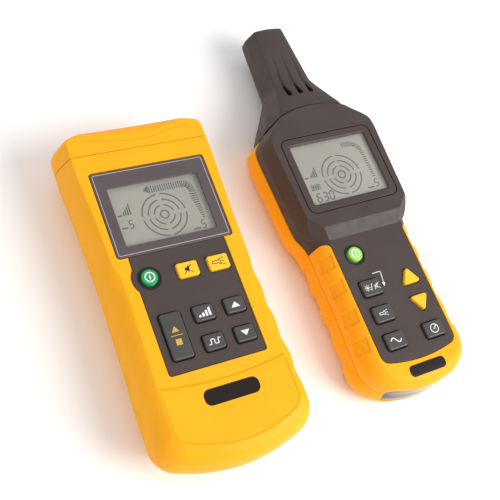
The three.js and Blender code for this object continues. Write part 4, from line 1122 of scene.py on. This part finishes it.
# Back shell.
rx_back = skin(rx_outline, [*RX_BACK_HEIGHTS, RX_PARTING - SEAM], rim_high=RIM)
combine(rx_back, [beyond_seam(SEAM_RADIUS - 0.2)])
combine(rx_back, [combine(rx_hollow(3, 25), [beyond_seam(SEAM_RADIUS - 3)])])
for centre in BOSSES_RX:
    combine(rx_back, [post(*centre, 3.9, 2, RX_PARTING - SEAM)], "UNION")
combine(rx_back, [screw_sink(*c, 5.2) for c in BOSSES_RX])
combine(rx_back, [insert_hole(0.3, -160, -120)])
combine(rx_back, [door_recess(DOOR_RX)])
combine(rx_back, [prism(rounded_rect(-17, -124.5, 17, -28.5, 3), [(-1, 0), (4, 0)])])
finish_node(rx_back, "rx_back_shell", YELLOW)
battery_door("rx", DOOR_RX)
for i, (x, y) in enumerate(BOSSES_RX, 1):
    screw(f"rx_case_screw_{i}", x, y, 3.0, 22)
screw("rx_door_screw", 0, -31.5, 0.4, 8.5, 1.0)
blank_badge("rx_blank_badge", (-12.0, -129.0, 12.4, -122.4), 2.6, rx_outline, RX_FRONT_HEIGHTS[10:])

# End insert: a dark glossy window with fine upright ribs.
insert = loft([ring(rx_outline(z, 0.4), z) for z in np.linspace(8, 27, 14)])
combine(insert, [loft([ring(rx_outline(z, 4.0), z) for z in (7, 14, 20, 28)])])
combine(insert, [insert_hole(0.0, -160, -118)], "INTERSECT")
ribs = [post(x, -137.2 + 0.0052 * x * x, 0.9, 0, 40, 16) for x in np.linspace(-20, 20, 21)]
combine(insert, ribs)
finish_node(insert, "rx_end_insert", INSERT)

# ------------------------------------------------------------------ receiver head and keypad plate

HEAD_Z = (17.0, 19.65, 27.5, 34.5, 37.5, 38.05, 38.3, 38.44, 38.5)
HEAD_ACROSS = (0.3, 0.3, 0.0, 1.7, 2.5, 2.75, 3.0, 3.25, 3.6)
HEAD_END = (0.0, 0.0, 0.0, 0.0, 0.1, 0.2, 0.3, 0.4, 0.6)


def head_outline(z, wall=0.0):
    across, end = np.interp(z, HEAD_Z, HEAD_ACROSS), np.interp(z, HEAD_Z, HEAD_END)
    return inset(HEAD_BASE, HEAD_NORMAL, across + wall, end + wall)


HEAD_HEIGHTS = [*np.linspace(20.0, 27.2, 6), 27.5, *np.linspace(28.2, 34.2, 6), 34.5,
                *np.linspace(35, 37.5, 5), *HEAD_Z[5:]]
low = RX_PARTING + SEAM
head_rings = [ring(outward(head_outline(low), -RIM), low), ring(outward(head_outline(low), -0.1), low + 0.12)]
front = loft(head_rings + [ring(head_outline(z), z) for z in HEAD_HEIGHTS])
neck = skin(rx_outline, [low, *RX_FRONT_HEIGHTS], rim_low=RIM)
combine(neck, [combine(rail_cutter(0.3), [block(-70, 70, -28, 90, -5, 70)])], "INTERSECT")
combine(neck, [block(-70, 70, -80, 90, RX_PANEL_Z, 70)])


def half_space(point, normal):
    """Everything on one side of a plane, as a cutter."""
    turn = Vector(normal).to_track_quat("Z", "Y").to_matrix().to_4x4()
    return moved(block(-70, 70, -70, 70, 0, 70), Matrix.Translation(point) @ turn)


RAMP_TOP, RAMP_FOOT = Vector((0, -33.4, 38.5)), Vector((0, -40.6, 34.3))
# Two points on the upper edge of the corner's slope, then one at its foot.
CHAMFER = (35.6, -24.6, 38.5), (26.6, -33.4, 38.5), (24.6, -40.6, 34.3)
ramp_normal = (RAMP_TOP - RAMP_FOOT).cross(Vector((1, 0, 0)))
ramp_normal = -ramp_normal if ramp_normal.z < 0 else ramp_normal
front_cutters = [half_space(RAMP_TOP, ramp_normal)]
for side in (-1, 1):
    a, b, foot = (Vector((side * x, y, z)) for x, y, z in CHAMFER)
    normal = (b - a).cross(foot - a)
    front_cutters.append(half_space(a, -normal if normal.z < 0 else normal))
combine(front, front_cutters)
plate = prism(rx_panel_outline(), [(28, 0), *rounded_top(RX_PANEL_Z, 0.25, 0, 4)])
combine(front, [neck, plate], "UNION")
combine(front, [beyond_seam(SEAM_RADIUS - 0.4)])
inside = loft([ring(head_outline(z, WALL), z) for z in (16, 20, 27.5, 33, 36.0)])
combine(inside, [block(-60, 60, -32, 60, 0, 60)], "INTERSECT")
combine(inside, [beyond_seam(SEAM_RADIUS - 3)])
combine(front, [inside])
neck_inside = combine(rx_hollow(12, 31.6), [block(-60, 60, -62, -30, 0, 60)], "INTERSECT")
combine(front, [neck_inside])
combine(front, [prism(rx_panel_outline(-1.6), [(10, 0), (31.8, 0)])])
FRAME_HALF, RX_LCD_HALF, RX_FACE = (30.6, 24.0), (25.4, 18.8), 38.5


def centred_rect(half, radius):
    return rounded_rect(-half[0], -half[1], half[0], half[1], radius, 9)


combine(front, [prism(centred_rect(FRAME_HALF, 4.6), [(RX_FACE - 1.7, 0.5), *lip(RX_FACE, 0.25, 0.5)])])
combine(front, [prism(centred_rect(RX_LCD_HALF, 1.2), [(25, 1.5), (45, 1.5)])])
rx_keys = {
    "rx_backlight_key": ((-12.5, -73.8, 12.8, 9.4), DARK_KEY,
                         sun_mark(-15.6, -73.8, 1.05) + [stroke([(-13.5, -75.8), (-12.1, -71.8)], 0.4)]
                         + speaker_mark(-9.3, -73.8, 0.95), WHITE_PRINT),
    "rx_torch_key": ((-12.5, -90, 12.8, 9.4), DARK_KEY, torch_mark(-12.5, -90, 0.95), WHITE_PRINT),
    "rx_voltage_key": ((-12.5, -106.4, 12.8, 9.4), DARK_KEY, wave_mark(-12.5, -106.4), WHITE_PRINT),
    "rx_manual_key": ((14, -107, 12.8, 9), DARK_KEY,
                      small_ring(14, -107, 2.5, 0.45) + [stroke([(14, -107), (15.7, -105.3)], 0.6),
                                                         circle(14, -107, 0.55, 16)], WHITE_PRINT),
}
rx_triangles = {"rx_level_up_key": (14, -73.1, 6.2, 10, 1), "rx_level_down_key": (14, -90.7, 6.2, 10, -1)}
cutters = [prism(key_rect(*row[0]), [(30, HOLE), *lip(RX_PANEL_Z, 0.35, HOLE)]) for row in rx_keys.values()]
cutters += [prism(triangle(*shape, radius=1.3), [(30, HOLE), *lip(RX_PANEL_Z, 0.3, HOLE)])
            for shape in rx_triangles.values()]
cutters.append(prism(circle(*RX_POWER, POWER_KEY), [(30, HOLE), (45, HOLE)]))
combine(front, cutters)
combine(front, [prism(circle(*RX_POWER, WELL_RADIUS, 64),
                      [(RX_PANEL_Z - 0.8, -0.2), *lip(RX_PANEL_Z, 0.4, 0)])])
# Painted shade on the floor of the receiver's power key well.
painted_shade_ring("rx_power_well", *RX_POWER, RX_PANEL_Z - 0.8)
for centre in BOSSES_RX[:2]:
    combine(front, [post(*centre, 3.1, low, 36.8)], "UNION")
combine(front, [post(*centre, 1.5, 10, 33) for centre in BOSSES_RX[:2]])
finish_node(front, "rx_front_shell", DARK)

for node, (place_and_size, material, marks, ink) in rx_keys.items():
    key(node, key_rect(*place_and_size), marks, material, ink)
for node, shape in rx_triangles.items():
    key(node, triangle(*shape, radius=1.6), [], YELLOW_KEY, None)
key("rx_power_key", circle(*RX_POWER, POWER_KEY, 64), power_mark(*RX_POWER, 2.5), LIME_KEY, WHITE_PRINT)
hold_mark = [stroke([(-7.6, -66.0), (-1.9, -66.0)], 0.4), stroke([(-2.1, -66.0), (-3.2, -73.2)], 0.4),
             np.array([(-4.2, -72.6), (-3.4, -75.2), (-2.3, -72.9)])]
print_on("rx_panel_hold_mark", hold_mark, RX_PANEL_Z, WHITE_PRINT)

# ------------------------------------------------------------------ receiver display

rx_frame = prism(centred_rect(FRAME_HALF, 4.6), [(RX_FACE - 1.3, -0.1), *rounded_top(RX_FACE - 0.05, 0.35)])
aperture = [(RX_FACE - 3, 0.3), (RX_FACE - 1.0, 0.35), (RX_FACE - 0.35, 0.9), (RX_FACE - 0.1, 1.4),
            (RX_FACE + 1, 3.4)]
combine(rx_frame, [prism(centred_rect(RX_LCD_HALF, 1.0), aperture)])
finish_node(rx_frame, "rx_display_frame", DARK)

rx_path = resample([(9.5, 16.2), (15.0, 16.2), (18.6, 14.8), (20.8, 11.8), (21.8, 8.2), (22.2, -9.0)], 24)
rx_lengths = [3.4 - 0.07 * i for i in range(24)]
rx_marks = rings_and_bars(0.9, -3.6, (12.7, 9.1, 5.7), 0.72) + small_ring(0.9, -3.6, 2.4, 0.72)
rx_marks += level_bars(-19.6, -1.6, 1.25, 0.8, (2.0, 3.2, 4.6, 6.4)) + scale_ticks(rx_path, rx_lengths, 0.6)
battery = stroke([(-22.2, -9.4), (-16.4, -9.4), (-16.4, -6.2), (-22.2, -6.2), (-22.2, -9.7)], 0.5)
rx_marks += [battery, *(rounded_rect(x, -8.8, x + 1.2, -6.8, 0.1, 2) for x in (-21.5, -19.9, -18.3))]
rx_marks += digit("6", -21.6, -17.3, 2.7, 5.2, 0.85) + digit("3", -17.3, -17.3, 2.7, 5.2, 0.85)
rx_marks += digit("0", -13.0, -17.3, 2.7, 5.2, 0.85) + digit("5", 19.6, -16.0, 2.4, 4.6, 0.6)
rx_marks += dash(-23.6, -1.2, 2.4, 0.8) + dash(14.0, -15.8, 4.2, 0.8)
display_marks("rx_display_marks", rx_marks, 36.0)

# ------------------------------------------------------------------ probe

PROBE_Y = (30, 38, 44, 50, 56, 61, 64.8, 67, 85, 103.4, 104.6, 105.2)
PROBE_HALF = (34, 30.5, 27, 23.2, 19.6, 16.7, 14.8, 14.3, 13.7, 13.1, 12.9, 12.2)
PROBE_FACET = (24, 22.5, 20.2, 17.8, 15.6, 13.9, 12.8, 12.5, 11.2, 9.9, 9.7, 9.0)
PROBE_TOP = (38.3, 37.9, 36.9, 35.0, 33.0, 31.3, 30.2, 30.0, 29.9, 29.7, 29.5, 28.8)
PROBE_CROWN = (0.1, 0.4, 0.8, 1.2, 1.5, 1.6, 1.6, 1.6, 1.45, 1.3, 1.25, 1.1)
PROBE_SLOPE = (9, 9.5, 10, 10.5, 11, 11, 10.5, 10, 9.5, 9, 8.9, 8.5)
PROBE_BASE = (1, 1.6, 3, 4.6, 6.2, 7.4, 8, 8, 8.2, 8.4, 8.7, 9.2)
SLOT_X = (-7.5, 0.0, 7.5)


def probe_ring(y, wall=0.0):
    """Cross-section of the probe, with grooves that run out of the slots and fade towards the tip."""
    half, facet, top, crown, slope, base = (float(np.interp(y, PROBE_Y, column)) for column in (
        PROBE_HALF, PROBE_FACET, PROBE_TOP, PROBE_CROWN, PROBE_SLOPE, PROBE_BASE))
    w, f, hi, lo = half - wall, facet - wall, top - wall, base + wall
    shoulder, fall = min(6, (hi - lo) / 3), min(slope, (hi - lo) / 2)
    right = rounded_run([(0, lo), (f, lo), (w, lo + shoulder), (w, hi - fall), (f, hi),
                         (f * 0.8, hi + crown * 0.36)])
    share = np.linspace(0.8, -0.8, 61)[1:-1]
    front_face = np.stack([share * f, hi + crown * (1 - share**2)], 1)
    section = np.vstack([right, front_face, right[:0:-1] * (-1, 1)])
    if not wall:
        fade = ramp(56, 63, y) * (1 - ramp(64, 94, y))
        for x in SLOT_X:
            groove = 1.2 * fade * np.exp(-((section[:, 0] - x * f / 13) / 0.8) ** 2)
            section[:, 1] -= np.where(section[:, 1] > (hi + lo) / 2, groove, 0)
    return section * (1, -1)


def rounded_run(corners):
    """Open run of straight lines with its inner corners rounded."""
    radius = 0.9
    corners = [np.array(c, float) for c in corners]
    out = [corners[0]]
    for before, corner, after in zip(corners, corners[1:], corners[2:]):
        a = corner + (before - corner) * min(0.45, radius / np.linalg.norm(before - corner))
        b = corner + (after - corner) * min(0.45, radius / np.linalg.norm(after - corner))
        for t in np.linspace(0, 1, 5):
            out.append((1 - t) ** 2 * a + 2 * t * (1 - t) * corner + t**2 * b)
    return np.array(out + [corners[-1]])


def probe_loft(stations, wall=0.0):
    return laid_along_y(loft([ring(anticlockwise(probe_ring(y, wall)), y) for y in stations]))


probe = probe_loft([*np.linspace(30, 64, 46), 64.8, 65.6, 66.4, *np.linspace(67, 103, 50),
                    103.4, 103.8, 104.2, 104.6, 104.9, 105.2])
combine(probe, [seam_cylinder(SEAM_RADIUS + 0.45)])
combine(probe, [probe_loft([*np.linspace(30, 100, 16), 102], WALL)])
slots = []
for x in SLOT_X:
    round_end = arc_path(x, 55.9, 1.8, 170, 370, 18)
    tip = np.array([(x + 1.25, 59.6), (x + 0.55, 62.8), (x, 64.0), (x - 0.55, 62.8), (x - 1.25, 59.6)])
    slots.append(prism(np.vstack([round_end, tip]), [(22, 0), (50, 0)]))
combine(probe, slots)
combine(probe, [along_y_cutter(0, 17.4, [(98, 4.3), (104.6, 4.3), (105.4, 4.9), (112, 6)])])
finish_node(probe, "rx_probe", DARK)
torch_lens("rx_torch_lens", 17.4, 102.6, 105.0, 4.0)

# ------------------------------------------------------------------ carried-over CAD pieces

ON_BOTH = {"keypad_mat": SILICONE, "circuit_board": BOARD, "display_module": LCD, "display_window": WINDOW}
INNER = {
    "tx_buzzer": BLACK_PLASTIC, "rx_coil_core": BLACK_PLASTIC, "rx_sensor_coil": COPPER, "tx_battery": CELL,
    **{f"{unit}_{kind}": material for unit in PLACE for kind, material in ON_BOTH.items()},
    **{f"rx_cell_{i}": CELL for i in range(1, 7)},
}
for node, material in INNER.items():
    nodes[node].data.materials.clear()
    nodes[node].data.materials.append(material)

# ------------------------------------------------------------------ stage, light and camera

FLOOR_HALF, FLOOR_Z, LIGHT_SIZE = 3.0, -0.0002, 1.2
corners = [(x * FLOOR_HALF, y * FLOOR_HALF, FLOOR_Z) for x, y in ((-1, -1), (1, -1), (1, 1), (-1, 1))]
floor = new_object("floor", corners, [(0, 1, 2, 3)])
floor_surface = Surface("pale_floor")
floor_surface.feed(Base_Color=floor_surface.mix(floor_surface.noise(2.0), srgb("fbfbfa"), srgb("fefefe")))
floor_surface.fix(Roughness=0.9, Specular_IOR_Level=0.1)
floor.data.materials.append(floor_surface.material)


def area_light(name, location, power):
    """Soft round light aimed at the middle of the floor."""
    data = bpy.data.lights.new(name, "AREA")
    data.shape = "DISK"
    data.size = LIGHT_SIZE
    data.energy = power
    light = bpy.data.objects.new(name, data)
    light.location = location
    light.rotation_euler = (-Vector(location)).to_track_quat("-Z", "Y").to_euler()
    bpy.context.scene.collection.objects.link(light)


area_light("key_light", (0.8, -0.75, 1.0), 20.5)
area_light("fill_light", (-0.5, 0.9, 1.0), 2)

world = bpy.data.worlds.new("studio")
bpy.context.scene.world = world
world.use_nodes = True
world.node_tree.nodes["Background"].inputs["Color"].default_value = (1, 1, 1, 1)
world.node_tree.nodes["Background"].inputs["Strength"].default_value = 0.7
bpy.context.scene.view_settings.view_transform = "Standard"

camera_data = bpy.data.cameras.new("camera")
camera_data.sensor_width = 36
camera_data.lens = 67.16
camera = bpy.data.objects.new("camera", camera_data)
CAMERA_PLACE = PLACE["tx"] @ Vector((-175.24, -133.12, 470.86))
RIGHT = Vector((0.87942, -0.35139, 0.32117))
FORWARD = Vector((0.42805, 0.28844, -0.85649))
UP = RIGHT.cross(FORWARD)
camera.matrix_world = Matrix.Translation(CAMERA_PLACE) @ Matrix((RIGHT, UP, -FORWARD)).transposed().to_4x4()
bpy.context.scene.collection.objects.link(camera)
bpy.context.scene.camera = camera
